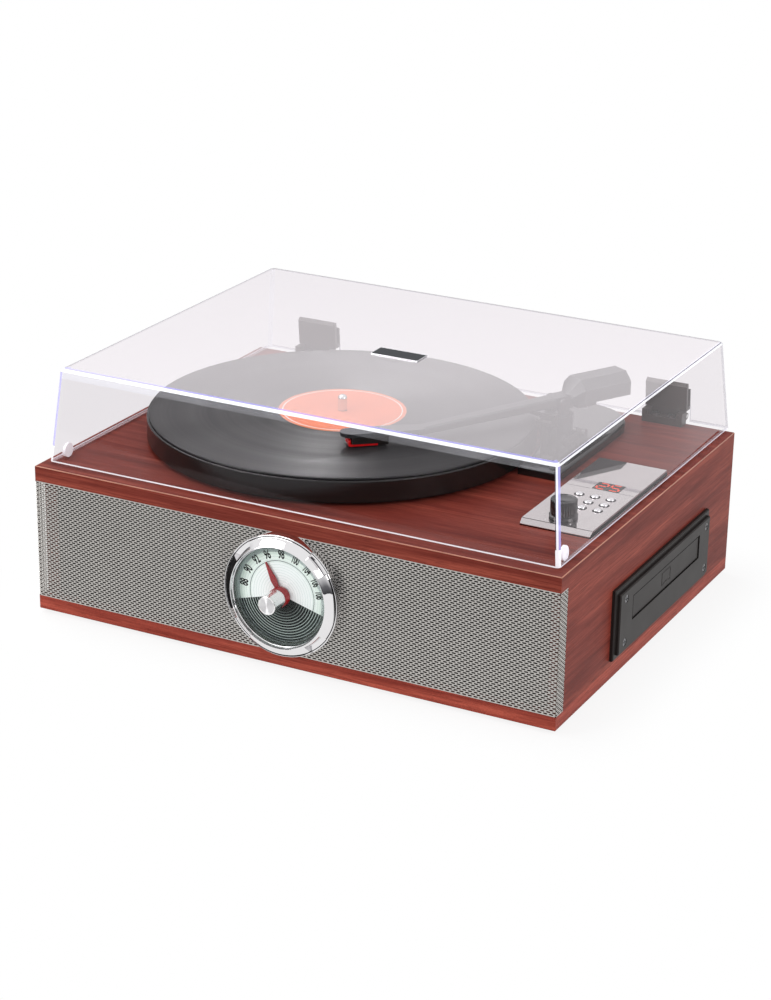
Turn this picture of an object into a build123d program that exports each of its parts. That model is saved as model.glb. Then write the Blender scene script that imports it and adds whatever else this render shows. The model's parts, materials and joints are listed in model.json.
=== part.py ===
from build123d import *
import math
import os

# Stereo music centre, in millimetres. x runs right along the front, y runs back, z runs up from the floor.
# Pieces are modelled round the middle of the cabinet's footprint, and moved to the whole object's
# bottom centre when they are written.

# cabinet
cabinet_width = 434
cabinet_depth = 336
foot_height = 3
bottom_thickness = 11
deck_thickness = 12
side_thickness = 12
deck_top = 120
rear_thickness = 8
baffle_thickness = 9
baffle_setback = 11
corner_wrap = 12
sheet_thickness = 1.2

# dust cover
cover_gap = 1.5
cover_top = 194
cover_wall = 3
cover_half_width = 210.5
cover_front = -158
cover_rear = 173
cover_draw_in = 7
bumper_radius = 5.5
bumper_thickness = 2.4
bumper_y = -140
bumper_z = 126
hinge_spacing = 159
hinge_axis_y = 169.5
hinge_axis_z = 126
hinge_pin_radius = 1.5
hinge_base_front = 157.5
hinge_base_top = 126
hinge_cheek_top = 130.4

# turntable
platter_x = -48.5
platter_y = 7
platter_radius = 152
platter_bottom = 122
platter_top = 138.6
record_radius = 150.5
record_bottom = 139.6
record_top = 141.4
spindle_radius = 3.58
spindle_shaft_radius = 4
spindle_neck_radius = 3.0
spindle_top = 153.8
drive_ring_radius = 92
pulley_radius = 5
pulley_distance = 120
pulley_angle = 225
belt_gap = 0.3

# tonearm, drawn along y through its pivot and then turned to where it plays
pivot_x = 98
pivot_y = 88
pivot_z = 149
arm_turn = -28.6
arm_length = 134
arm_rear = 62
headshell_angle = -21
plate_top = 127
plate_right = 141
plate_front = -2
lift_radius = 24
lift_stem_angle = 285

# control panel
panel_left = 151
panel_right = 206
panel_front = -94
panel_back = 51
panel_top = 124.5
button_columns = (168.5, 181, 193.5)
button_rows = (-28, -40.4, -52.6)
button_radius = 3
knob_x = 177
knob_y = -76
knob_radius = 10.5
knob_top = 139.2

# tuning dial
dial_z = 62
bezel_radius = 47.2
bezel_depth = 12
bezel_shoulder = 4.6
dial_radius = 38
pointer_tilt = 27.8
pointer_hub_radius = 7.4
pointer_hub_top = 11.2
tuning_knob_radius = 7.3
tuning_knob_reach = 27
tuning_shaft_radius = 3

# cassette unit
cassette_front = -74
cassette_back = 113
cassette_low = 19
cassette_high = 74.6
cassette_step = 4
flange_thickness = 3
plate_reach = 5.5
flap_front = -46.5
flap_back = 87.5
flap_low = 42.8
flap_high = 62
well_depth = 76

# fits
running_fit = 0.05
loose_fit = 0.3

half_width = cabinet_width / 2
half_depth = cabinet_depth / 2
front = -half_depth
rear = half_depth
deck_underside = deck_top - deck_thickness
bottom_top = foot_height + bottom_thickness
baffle_front = front + baffle_setback
baffle_back = baffle_front + baffle_thickness
pulley_x = platter_x + pulley_distance * math.cos(math.radians(pulley_angle))
pulley_y = platter_y + pulley_distance * math.sin(math.radians(pulley_angle))
pieces = {}


def block(x0, x1, y0, y1, z0, z1):
    """A box between two corners."""
    centre = Pos((x0 + x1) / 2, (y0 + y1) / 2, (z0 + z1) / 2)
    return centre * Box(x1 - x0, y1 - y0, z1 - z0)


def post(x, y, z0, z1, radius):
    """An upright cylinder."""
    return Pos(x, y, (z0 + z1) / 2) * Cylinder(radius, z1 - z0)


def rod_y(x, z, y0, y1, radius):
    """A cylinder that lies from front to back."""
    return Pos(x, (y0 + y1) / 2, z) * Rot(90, 0, 0) * Cylinder(radius, y1 - y0)


def rod_x(y, z, x0, x1, radius):
    """A cylinder that lies from left to right."""
    return Pos((x0 + x1) / 2, y, z) * Rot(0, 90, 0) * Cylinder(radius, x1 - x0)


def slice_x(points, x0, x1):
    """A flat outline of (y, z) points, thickened from x0 to x1."""
    outline = make_face(Polyline(*[(x0, y, z) for y, z in points], close=True))
    return extrude(outline, amount=x1 - x0, dir=(1, 0, 0))


def slice_z(points, z0, z1):
    """A flat outline of (x, y) points, thickened from z0 to z1."""
    outline = make_face(Polyline(*[(x, y, z0) for x, y in points], close=True))
    return extrude(outline, amount=z1 - z0, dir=(0, 0, 1))


def on_arm(shape):
    """Moves a shape drawn at the origin, along y, to the tonearm's pivot and angle."""
    return Pos(pivot_x, pivot_y, 0) * Rot(0, 0, arm_turn) * shape


screw_head_radius = 3
screw_head_height = 1.6


def screw(length=10):
    """A cross-head screw that points down, its head's underside at the origin."""
    shank_radius, slot = 1.4, 0.9
    body = post(0, 0, 0, screw_head_height, screw_head_radius) + post(0, 0, -length, 0, shank_radius)
    for turn in (0, 90):
        cross = Pos(0, 0, screw_head_height) * Box(2 * screw_head_radius - 2, slot, 1.6)
        body -= Rot(0, 0, turn) * cross
    return body


def sunk_head():
    """The room for a screw's head and for the driver above it."""
    return post(0, 0, 0, screw_head_height + 3, screw_head_radius + 0.15)


# ---- screws, made first so that the pieces they hold can be cut for them
cassette_screw_y = (-59, 102)
cassette_screw_z = (29.5, 64)
hinge_screw_y = hinge_base_front + 4
sunk = 1.9
tonearm_screws = ((131, 8), (131, 122), (98, 146))
screw_places = [Pos(half_width + plate_reach - sunk, y, z) * Rot(0, 90, 0)
                for y in cassette_screw_y for z in cassette_screw_z]
screw_places += [Pos(side * hinge_spacing + offset, hinge_screw_y, hinge_base_top)
                 for side in (-1, 1) for offset in (-7, 7)]
screw_places += [Pos(x, y, plate_top - sunk) for x, y in tonearm_screws]
screws = [place * screw() for place in screw_places]


def cut_screws(shape):
    for place, one in zip(screw_places, screws):
        shape = shape - one - place * sunk_head()
    return shape


# ---- cabinet
def deck_board():
    board = block(-half_width, half_width, front, rear, deck_underside, deck_top)
    below, above = deck_underside - 1, deck_top + 1
    board -= post(platter_x, platter_y, below, above, 8.5)
    board -= post(pulley_x, pulley_y, below, above, 7)
    board -= post(pivot_x, pivot_y, below, above, 9.5)
    lift_x, lift_y = lift_stem_place()
    board -= post(lift_x, lift_y, below, above, 5)
    board -= block(118, 127, 10, 34, below, above)
    board -= block(panel_left + 5, panel_right - 5, panel_front + 8, panel_back - 5, below, above)
    return cut_screws(board)


def bottom_board():
    return block(-half_width, half_width, front, rear, foot_height, bottom_top)


def side_board(side):
    inner = half_width - side_thickness
    x0, x1 = sorted((side * inner, side * half_width))
    board = block(x0, x1, front + corner_wrap, rear, bottom_top, deck_underside)
    if side > 0:
        board -= block(x0 - 1, x1 + 1, flap_front - 3.5, flap_back + 3.5, flap_low - 3.5, flap_high + 3.5)
        board = cut_screws(board)
    return board


def rear_panel():
    inner = half_width - side_thickness
    panel = block(-inner, inner, rear - rear_thickness, rear, bottom_top, deck_underside)
    panel -= block(-62, 62, rear - rear_thickness - 1, rear + 1, 40, 64)
    return panel


def front_baffle():
    inner = half_width - side_thickness
    baffle = block(-inner, inner, baffle_front, baffle_back, bottom_top, deck_underside)
    for side in (-1, 1):
        baffle -= rod_y(side * speaker_x, speaker_z, baffle_front - 1, baffle_back + 1, speaker_hole)
    baffle -= rod_y(0, dial_z, baffle_front - 1, baffle_back + 1, 42)
    return baffle


def speaker_grille():
    sheet = block(-half_width, half_width, front, front + corner_wrap, bottom_top, deck_underside)
    inner = half_width - sheet_thickness
    sheet -= block(-inner, inner, front + sheet_thickness, front + corner_wrap + 1, 0, deck_top)
    sheet -= rod_y(0, dial_z, front - 1, front + 3, 42.2)
    return sheet


def rubber_feet():
    return [post(x, y, 0, foot_height, 12) for x in (-190, 190) for y in (-140, 140)]


# ---- loudspeakers
speaker_x = 125
speaker_z = 61
speaker_hole = 34


def speaker_shell(radius_front, radius_back, y0, y1):
    """A cone from a front radius to a back radius, lying along y."""
    return Pos(0, (y0 + y1) / 2, 0) * Rot(90, 0, 0) * Cone(radius_back, radius_front, y1 - y0)


def speaker_chassis():
    made = []
    for side in (-1, 1):
        y = baffle_back
        unit = rod_y(0, 0, y, y + 2.5, 39) + speaker_shell(36, 20, y, y + 26)
        unit -= speaker_shell(33.6, 17, y - 1, y + 22)
        unit += rod_y(0, 0, y + 26, y + 40, 24)
        made.append(Pos(side * speaker_x, 0, speaker_z) * unit)
    return made


def speaker_cones():
    made = []
    for side in (-1, 1):
        y = baffle_back
        cone = speaker_shell(32.6, 13, y, y + 18) - speaker_shell(31.4, 11.8, y - 0.5, y + 17)
        cone += rod_y(0, 0, y + 12, y + 14, 17.5)
        made.append(Pos(side * speaker_x, 0, speaker_z) * cone)
    return made


# ---- dust cover and its hinges
def tapered_box(inset, z0, z1):
    """The cover's outside drawn in by inset all round, between two heights of its sloping walls."""
    low = deck_top + cover_gap
    height = cover_top - low
    sections = []
    for z in (z0, z1):
        drawn = inset + cover_draw_in * (z - low) / height
        width = 2 * (cover_half_width - drawn)
        depth = cover_rear - cover_front - 2 * drawn
        middle = (cover_rear + cover_front) / 2
        sections.append(Pos(0, middle, z) * Rectangle(width, depth))
    return loft(sections)


def rear_wall_y(z):
    """Outside of the cover's sloping rear wall at a height."""
    low = deck_top + cover_gap
    return cover_rear - cover_draw_in * (z - low) / (cover_top - low)


def dust_cover():
    low = deck_top + cover_gap
    outer = tapered_box(0, low, cover_top)
    corner_edges = [e for e in outer.edges() if e.bounding_box().size.Z > 40]
    outer = fillet(corner_edges, 3)
    outer = chamfer(outer.faces().sort_by(Axis.Z)[-1].edges(), 1.2)
    cover = outer - tapered_box(cover_wall, low - 1, cover_top - cover_wall)
    for side in (-1, 1):
        x = side * hinge_spacing
        cover -= block(x - 19, x + 19, hinge_axis_y - 9, cover_rear + 2, low - 1, 134)
    return cover


def cover_badge():
    return block(-20, 20, -1.5, 15.5, cover_top, cover_top + 0.8)


def cover_bumpers():
    made = []
    drawn = cover_draw_in * (bumper_z - deck_top - cover_gap) / (cover_top - deck_top - cover_gap)
    wall = cover_half_width - drawn - cover_wall
    for side in (-1, 1):
        x0, x1 = sorted((side * (wall - bumper_thickness), side * (wall + 0.6)))
        made.append(rod_x(bumper_y, bumper_z, x0, x1, bumper_radius) - dust_cover_walls)
    return made


def hinge_bases():
    made = []
    for side in (-1, 1):
        base = block(-17, 17, hinge_base_front, 165.5, deck_top, hinge_base_top)
        for ear in (-1, 1):
            x0, x1 = sorted((ear * 12, ear * 17))
            cheek = block(x0, x1, hinge_base_front, hinge_axis_y - 2, deck_top, hinge_cheek_top)
            arm = block(x0, x1, 162, hinge_axis_y, hinge_axis_z - 2.7, hinge_axis_z + 2.7)
            base += cheek + arm + rod_x(hinge_axis_y, hinge_axis_z, x0, x1, 2.7)
        base -= rod_x(hinge_axis_y, hinge_axis_z, -18, 18, hinge_pin_radius)
        made.append(cut_screws(Pos(side * hinge_spacing, 0, 0) * base))
    return made


def hinge_pins():
    return [rod_x(hinge_axis_y, hinge_axis_z, side * hinge_spacing - 17, side * hinge_spacing + 17,
                  hinge_pin_radius) for side in (-1, 1)]


def hinge_clips():
    made = []
    top, lip, low = 154, 131, 134
    inside = [(z, rear_wall_y(z) - cover_wall) for z in (lip, low, top)]
    for side in (-1, 1):
        lug = rod_x(hinge_axis_y, hinge_axis_z, -11.6, 11.6, 2.7)
        neck = [(hinge_axis_y - 2.7, hinge_axis_z), (hinge_axis_y + 2.7, hinge_axis_z),
                (hinge_axis_y + 2.0, lip + 1), (hinge_axis_y - 4.0, lip + 1)]
        clip = lug + slice_x(neck, -11.6, 11.6)
        plate = [(inside[0][1] - 3.4, lip), (inside[0][1], lip), (inside[2][1], top),
                 (inside[2][1] - 1.2, top), (inside[2][1] - 3.4, top - 2.4)]
        clip += slice_x(plate, -17.5, 17.5)
        lip_piece = [(inside[0][1] - 1, lip), (rear_wall_y(lip) + 2, lip), (rear_wall_y(low) + 2, low),
                     (inside[1][1] - 1, low)]
        clip += slice_x(lip_piece, -17.5, 17.5)
        back = [(rear_wall_y(low), low), (rear_wall_y(low) + 2, low), (rear_wall_y(148) + 2, 148),
                (rear_wall_y(148), 148)]
        clip += slice_x(back, -17.5, 17.5)
        clip -= rod_x(hinge_axis_y, hinge_axis_z, -12, 12, hinge_pin_radius + running_fit)
        made.append(Pos(side * hinge_spacing, 0, 0) * clip)
    return made


# ---- turntable
def at_platter(shape):
    return Pos(platter_x, platter_y, 0) * shape


def platter():
    web_under = 134
    disc = post(0, 0, platter_bottom, record_bottom, platter_radius)
    disc -= post(0, 0, platter_top, record_bottom + 1, 149.2)
    disc -= post(0, 0, platter_bottom - 1, web_under, platter_radius - 5)
    ring = post(0, 0, 124, web_under, drive_ring_radius) - post(0, 0, 123, web_under, drive_ring_radius - 4)
    disc += ring + post(0, 0, platter_bottom, web_under, 10)
    rims = [e for e in disc.edges().filter_by(GeomType.CIRCLE) if abs(e.radius - platter_radius) < 0.1]
    disc = fillet(rims, 1.1)
    return at_platter(disc - post(0, 0, 100, 150, spindle_shaft_radius))


def platter_mat():
    mat = post(0, 0, platter_top, record_bottom, 149)
    return at_platter(mat - post(0, 0, 130, 145, spindle_shaft_radius))


def vinyl_record():
    disc = post(0, 0, record_bottom, record_top, record_radius)
    disc = chamfer(disc.edges().filter_by(GeomType.CIRCLE), 0.5)
    return at_platter(disc - post(0, 0, 130, 145, spindle_radius + 0.08))


def spindle():
    pin_under = record_top + 0.1
    pin = post(0, 0, pin_under, spindle_top, spindle_radius)
    tip = pin.faces().sort_by(Axis.Z)[-1].edges()
    neck = post(0, 0, record_bottom, pin_under, spindle_neck_radius)
    return at_platter(fillet(tip, 3.0) + neck + post(0, 0, 86, record_bottom, spindle_shaft_radius))


def main_bearing():
    tube = post(0, 0, 83, 121, 8) + post(0, 0, deck_underside - 3, deck_underside, 15)
    return at_platter(tube - post(0, 0, 85.7, 122, spindle_shaft_radius + running_fit))


def belt_outline(extra, z0, z1):
    """The space inside a belt that runs round the drive ring and the pulley, grown by extra."""
    big, small = drive_ring_radius + extra, pulley_radius + extra
    lean = math.asin((big - small) / pulley_distance)
    corners = []
    for side in (1, -1):
        normal_x, normal_y = math.sin(lean), side * math.cos(lean)
        near = (big * normal_x, big * normal_y)
        far = (pulley_distance + small * normal_x, small * normal_y)
        corners += [near, far] if side > 0 else [far, near]
    straight = slice_z(corners, z0, z1)
    shape = straight + post(0, 0, z0, z1, big) + post(pulley_distance, 0, z0, z1, small)
    return Pos(platter_x, platter_y, 0) * Rot(0, 0, pulley_angle) * shape


def drive_belt():
    z0, z1 = 126, 130
    return belt_outline(belt_gap + 1, z0, z1) - belt_outline(belt_gap, z0 - 1, z1 + 1)


def platter_motor():
    can = post(0, 0, 82, deck_underside - 2, 17) + block(-27, 27, -12, 12, deck_underside - 2, deck_underside)
    can += post(0, 0, deck_underside, deck_underside + 3, 5)
    return Pos(pulley_x, pulley_y, 0) * (can - post(0, 0, 86, 112, 1 + running_fit))


def motor_pulley():
    wheel = post(0, 0, 124.5, 131.5, pulley_radius) + post(0, 0, 123.5, 124.5, pulley_radius + 0.15)
    return Pos(pulley_x, pulley_y, 0) * (wheel + post(0, 0, 87, 132.5, 1))


# ---- tonearm
def lift_stem_place():
    """Where the lift bar's stem goes down, on its arc in front of the turret."""
    angle = math.radians(lift_stem_angle)
    return pivot_x + lift_radius * math.cos(angle), pivot_y + lift_radius * math.sin(angle)


rest_x, rest_y = 104, 52
lever_x, lever_y, lever_z = 125, 72, 133


def tonearm_plate():
    tail_x, tail_y, tail_radius = 99, 117, 42
    body = post(tail_x, tail_y, deck_top, plate_top, tail_radius)
    body += block(40, plate_right, plate_front, tail_y, deck_top, plate_top)
    body -= at_platter(post(0, 0, deck_top - 1, plate_top + 1, platter_radius + 3.5))
    rim = body.faces().sort_by(Axis.Z)[-1].edges()
    body = fillet(rim, 2.5)
    body += post(pivot_x, pivot_y, deck_underside + 3, deck_top, 9)
    body -= post(pivot_x, pivot_y, deck_underside + 2, plate_top + 1, 5 + running_fit)
    lift_x, lift_y = lift_stem_place()
    body += post(lift_x, lift_y, plate_top - 1, 137, 4.2)
    body -= post(lift_x, lift_y, 100, 140, 2 + running_fit)
    for ear in (-1, 1):
        x0, x1 = sorted((lever_x + ear * 2.6, lever_x + ear * 5))
        body += block(x0, x1, lever_y - 4, lever_y + 4, plate_top, lever_z)
        body += rod_x(lever_y, lever_z, x0, x1, 4)
    body -= rod_x(lever_y, lever_z, lever_x - 6, lever_x + 6, 1.2 + running_fit)
    body -= block(119.8, 125.2, 11, 33, deck_top - 1, plate_top + 1)
    body -= post(rest_x, rest_y, deck_top + 2, plate_top + 1, 3)
    return cut_screws(body)


def tonearm_turret():
    drum_top = 140
    drum = post(0, 0, plate_top + loose_fit, drum_top, 13) + post(0, 0, 113, plate_top + loose_fit, 5)
    for ear in (-1, 1):
        x0, x1 = sorted((ear * 6.6, ear * 9.8))
        drum += block(x0, x1, -4.5, 4.5, drum_top, pivot_z)
        drum += rod_x(0, pivot_z, x0, x1, 4.5)
    drum -= rod_x(0, pivot_z, -11, 11, 1.6 + running_fit)
    return on_arm(drum)


def arm_section(y, width, z0, z1):
    return Pos(0, y, (z0 + z1) / 2) * Rot(90, 0, 0) * RectangleRounded(width, z1 - z0, 1.6)


def tonearm_beam():
    beam = loft([arm_section(-4, 12, 146.6, 154.4), arm_section(-arm_length, 9.5, 147, 153)])
    beam += block(-6, 6, -6, 11, 144, 154.5)
    beam += rod_x(0, pivot_z, -9.7, 9.7, 1.6)
    shell_top, shell_under = 153, 150
    outline = [(-5.5, 6), (5.5, 6), (7.5, -12), (7.5, -46), (-7.5, -46), (-7.5, -12)]
    shell = slice_z(outline, shell_under, shell_top) + post(0, -50.5, shell_under, shell_top, 7.5)
    shell += block(-7.5, 7.5, -50.5, -44, shell_under, shell_top)
    return on_arm(beam + Pos(0, -arm_length, 0) * Rot(0, 0, headshell_angle) * shell)


def tonearm_rear_block():
    profile = [(-14, 148), (14, 148), (14, 159), (7, 166), (-7, 166), (-14, 159)]
    outline = make_face(Polyline(*[(x, 17, z) for x, z in profile], close=True))
    body = extrude(outline, amount=arm_rear - 17, dir=(0, 1, 0))
    near = make_face(Polyline(*[(x * 0.45, 8, 147 + (z - 148) * 0.42) for x, z in profile], close=True))
    body += loft([near, outline])
    body += block(-9, 9, 14, 32, 143.5, 149)
    return on_arm(body - block(-6, 6, -6, 11, 144, 154.5))


def on_headshell(shape):
    return on_arm(Pos(0, -arm_length, 0) * Rot(0, 0, headshell_angle) * shape)


def cartridge():
    body = block(-7.2, 7.2, -50, -22, 144.6, 150) + block(-6.2, 6.2, -30, -22, 142.8, 144.6)
    return on_headshell(body)


def stylus():
    holder = block(-6.2, 6.2, -51, -30.2, 142.6, 144.6)
    nose = slice_x([(-51, 142.6), (-51, 148), (-53, 147), (-52.5, 143)], -6.2, 6.2)
    tip = Pos(0, -47, 142.2) * Box(1.2, 1.2, 1.0)
    return on_headshell(holder + nose + tip)


def arm_rest():
    body = post(rest_x, rest_y, deck_top + 2, 143, 3)
    body += block(97, 113.5, rest_y - 3, rest_y + 3, 142.6, 145)
    return body + block(110.5, 113.5, rest_y - 3, rest_y + 3, 145, 152)


def cue_lift_bar():
    top, under = 146.2, 143.8
    arc = post(0, 0, under, top, lift_radius + 1.6) - post(0, 0, under - 1, top + 1, lift_radius - 1.6)
    reach = 60
    wedge = [(0, 0)]
    for angle in (224, 246, 268, 290):
        wedge.append((reach * math.cos(math.radians(angle)), reach * math.sin(math.radians(angle))))
    bar = Pos(pivot_x, pivot_y, 0) * (arc & slice_z(wedge, under - 1, top + 1))
    lift_x, lift_y = lift_stem_place()
    return bar + post(lift_x, lift_y, 111, under + 1, 2)


def cue_lever():
    lever = rod_x(0, 0, -2.3, 2.3, 3.6) + rod_x(0, 0, -4.9, 4.9, 1.2)
    lever += block(-1.8, 1.8, -26, 0, -1.4, 1.8)
    lever += Pos(0, -27, 0.8) * Sphere(3.2)
    return Pos(lever_x, lever_y, lever_z) * lever


def speed_switch():
    cap = block(118, 127, 13, 19, plate_top + loose_fit, 131)
    return cap + block(120.4, 124.6, 14, 18, 114, plate_top + loose_fit)


# ---- control panel
button_names = ("mode_button", "previous_button", "next_button", "play_button", "stop_button",
                "repeat_button", "record_button", "delete_button", "memory_button")
board_under = 112
board_top = 113.6


def button_places():
    return [(x, y) for y in button_rows for x in button_columns]


def control_panel():
    plate = block(panel_left, panel_right, panel_front, panel_back, deck_top, panel_top)
    front_edge = plate.faces().sort_by(Axis.Z)[-1].edges().sort_by(Axis.Y)[0]
    plate = chamfer(front_edge, 3.4)
    upright = plate.edges().filter_by(Axis.Z)
    plate = fillet(upright, 0.8)
    for x, y in button_places():
        plate -= post(x, y, deck_top - 1, panel_top + 1, button_radius + loose_fit)
    plate -= post(knob_x, knob_y, deck_top - 1, panel_top + 1, 3.6)
    plate -= block(171.5, 193, -12.6, 3, deck_top - 1, panel_top + 1)
    return plate


def display_window():
    return block(171.5, 193, -12.6, 3, deck_top + 1, panel_top + 0.1)


def control_board():
    left, right = panel_left + 6, panel_right - 6
    near, far = panel_front + 9, panel_back - 6
    board = block(left, right, near, far, board_under, board_top)
    for x in (left + 3, right - 3):
        for y in (near + 3, far - 3):
            board += post(x, y, board_top, deck_top, 2)
    for x, y in button_places():
        board += block(x - 2.6, x + 2.6, y - 2.6, y + 2.6, board_top, 116.4)
    pot = block(knob_x - 8, knob_x + 8, knob_y - 7, knob_y + 8, board_top, 119.5)
    board += pot - post(knob_x, knob_y, 114.6, deck_top, 3 + running_fit)
    return board + block(172, 192.5, -12, 2.5, board_top, deck_top + 1)


def panel_button(x, y):
    cap = post(x, y, 120.4, 125.8, button_radius)
    cap = fillet(cap.faces().sort_by(Axis.Z)[-1].edges(), 0.9)
    return cap + post(x, y, 118, 119.7, button_radius + 0.9) + post(x, y, 119.7, 120.4, button_radius)


def volume_knob():
    body = post(0, 0, panel_top + loose_fit, knob_top, knob_radius - 1.1)
    body = fillet(body.faces().sort_by(Axis.Z)[-1].edges(), 1.2)
    body += post(0, 0, panel_top + loose_fit, panel_top + 2.6, knob_radius)
    ribs = 18
    for i in range(ribs):
        rib = post(knob_radius - 1.3, 0, panel_top + 2, knob_top - 2, 0.8)
        body += Rot(0, 0, i * 360 / ribs) * rib
    return Pos(knob_x, knob_y, 0) * (body + post(0, 0, 115, panel_top + 1, 3))


# ---- tuning dial, drawn round its own axis and turned to face the front
def facing_front(shape):
    """Turns a shape drawn upwards from z = 0 so that it stands out of the cabinet's front."""
    return Pos(0, front, dial_z) * Rot(90, 0, 0) * shape


def dial_bezel():
    ring = post(0, 0, 0, bezel_depth, bezel_radius)
    ring = fillet(ring.faces().sort_by(Axis.Z)[-1].edges(), bezel_shoulder)
    ring += post(0, 0, -18, 0, 41.6)
    ring -= post(0, 0, -15.5, bezel_depth + 1, dial_radius + 0.2)
    ring -= Pos(0, 0, 9.5) * Cone(dial_radius + 0.2, 42, 5.2)
    for turn in (45, 135, 225, 315):
        notch = Pos(bezel_radius, 0, 7 + 5) * Box(14, 20, 10)
        ring -= Rot(0, 0, turn) * notch
    return facing_front(ring - post(0, 0, -19, -15, tuning_shaft_radius + running_fit))


def dial_plate():
    plate = post(0, 0, 3, 4.5, dial_radius)
    spacer = post(0, 0, -15.5, 3, dial_radius) - post(0, 0, -16, 4, dial_radius - 2)
    return facing_front(plate + spacer - post(0, 0, 2, 5, tuning_shaft_radius + loose_fit))


def dial_lens():
    return facing_front(post(0, 0, 8, 9.2, dial_radius) - post(0, 0, 7, 10, tuning_knob_radius + 0.8))


def dial_pointer():
    length, z0, z1 = 27, 5.6, 6.4
    hand = slice_z([(-1.0, 0), (-2.6, 13), (-0.5, length), (0.5, length), (2.6, 13), (1.0, 0)], z0, z1)
    pointer = Rot(0, 0, pointer_tilt) * hand + post(0, 0, z0, pointer_hub_top, pointer_hub_radius)
    return facing_front(pointer - post(0, 0, z0 - 1, pointer_hub_top + 1, tuning_shaft_radius))


def tuning_knob():
    knob = post(0, 0, pointer_hub_top, tuning_knob_reach, tuning_knob_radius)
    knob = chamfer(knob.faces().sort_by(Axis.Z)[-1].edges(), 0.5)
    return facing_front(knob + post(0, 0, -29, pointer_hub_top, tuning_shaft_radius))


def tuning_capacitor():
    body = block(-13, 13, -13, 13, -38, -18)
    return facing_front(body - post(0, 0, -30, -17, tuning_shaft_radius + running_fit))


# ---- cassette unit
def cassette_slot(x0, x1):
    return block(x0, x1, flap_front, flap_back, flap_low, flap_high)


def cassette_frame():
    x = half_width
    flange = block(x, x + flange_thickness, cassette_front, cassette_back, cassette_low, cassette_high)
    step = cassette_step
    plate = block(x, x + plate_reach, cassette_front + step, cassette_back - step,
                  cassette_low + step, cassette_high - step)
    edges = plate.faces().sort_by(Axis.X)[-1].edges()
    plate = chamfer(edges, 0.8)
    edges = flange.faces().sort_by(Axis.X)[-1].edges()
    flange = chamfer(edges, 0.8)
    return cut_screws(flange + plate - cassette_slot(x - 1, x + plate_reach + 1))


flap_hinge_x = half_width + 3.4
flap_hinge_z = flap_high - 1.6


def cassette_flap():
    gap = 0.4
    x0, x1 = half_width + 2.4, half_width + plate_reach - 0.6
    body = block(x0, x1, flap_front + gap, flap_back - gap, flap_low + gap, flap_hinge_z)
    body += rod_y(flap_hinge_x, flap_hinge_z, flap_front + gap, flap_back - gap, 1.0)
    body += block(flap_hinge_x - 0.4, x1, flap_front + gap, flap_back - gap, flap_hinge_z - 1, flap_high - gap)
    return body


def cassette_well():
    wall = 2.2
    x0, x1 = half_width - well_depth, half_width
    shell = block(x0, x1, flap_front - 2.4, flap_back + 2.4, flap_low - 2.4, flap_high + 2.4)
    inner = block(x0 + wall, x1 + 1, flap_front, flap_back, flap_low, flap_high)
    return shell - inner


def cassette_mechanism():
    floor = flap_low - 2.4
    chassis = block(146, 200, -30, 70, floor - 3, floor)
    for y in (-1, 41.5):
        chassis += post(173, y, floor - 9, floor - 3, 14)
    chassis += post(160, 62, floor - 22, floor - 3, 11)
    return chassis


# ---- electronics and sockets
def main_board():
    board = block(-90, 60, -40, 60, 22, 23.6)
    for x in (-84, 54):
        for y in (-34, 54):
            board += post(x, y, bottom_top, 22, 3)
    for x in (-70, -40, 40):
        board += post(x, 40, 23.6, 44, 8)
    board += block(-20, 10, -20, 0, 23.6, 27)
    board += block(-60, -30, -30, -26, 23.6, 52)
    return board


socket_z = 52
phono_x = (-38, -18)


def rear_sockets():
    plate = block(-66, 66, rear, rear + 2, 36, 68)
    plate += block(-60, 60, rear - 10, rear, 41, 63)
    for x in phono_x:
        plate += rod_y(x, socket_z, rear + 2, rear + 11, 4.15)
        plate -= rod_y(x, socket_z, rear + 3, rear + 12, 1.6)
    plate += rod_y(36, socket_z, rear + 2, rear + 4, 6)
    plate -= rod_y(36, socket_z, rear - 7, rear + 5, 3)
    plate += rod_y(36, socket_z, rear - 8, rear + 1, 1)
    return plate


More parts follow.
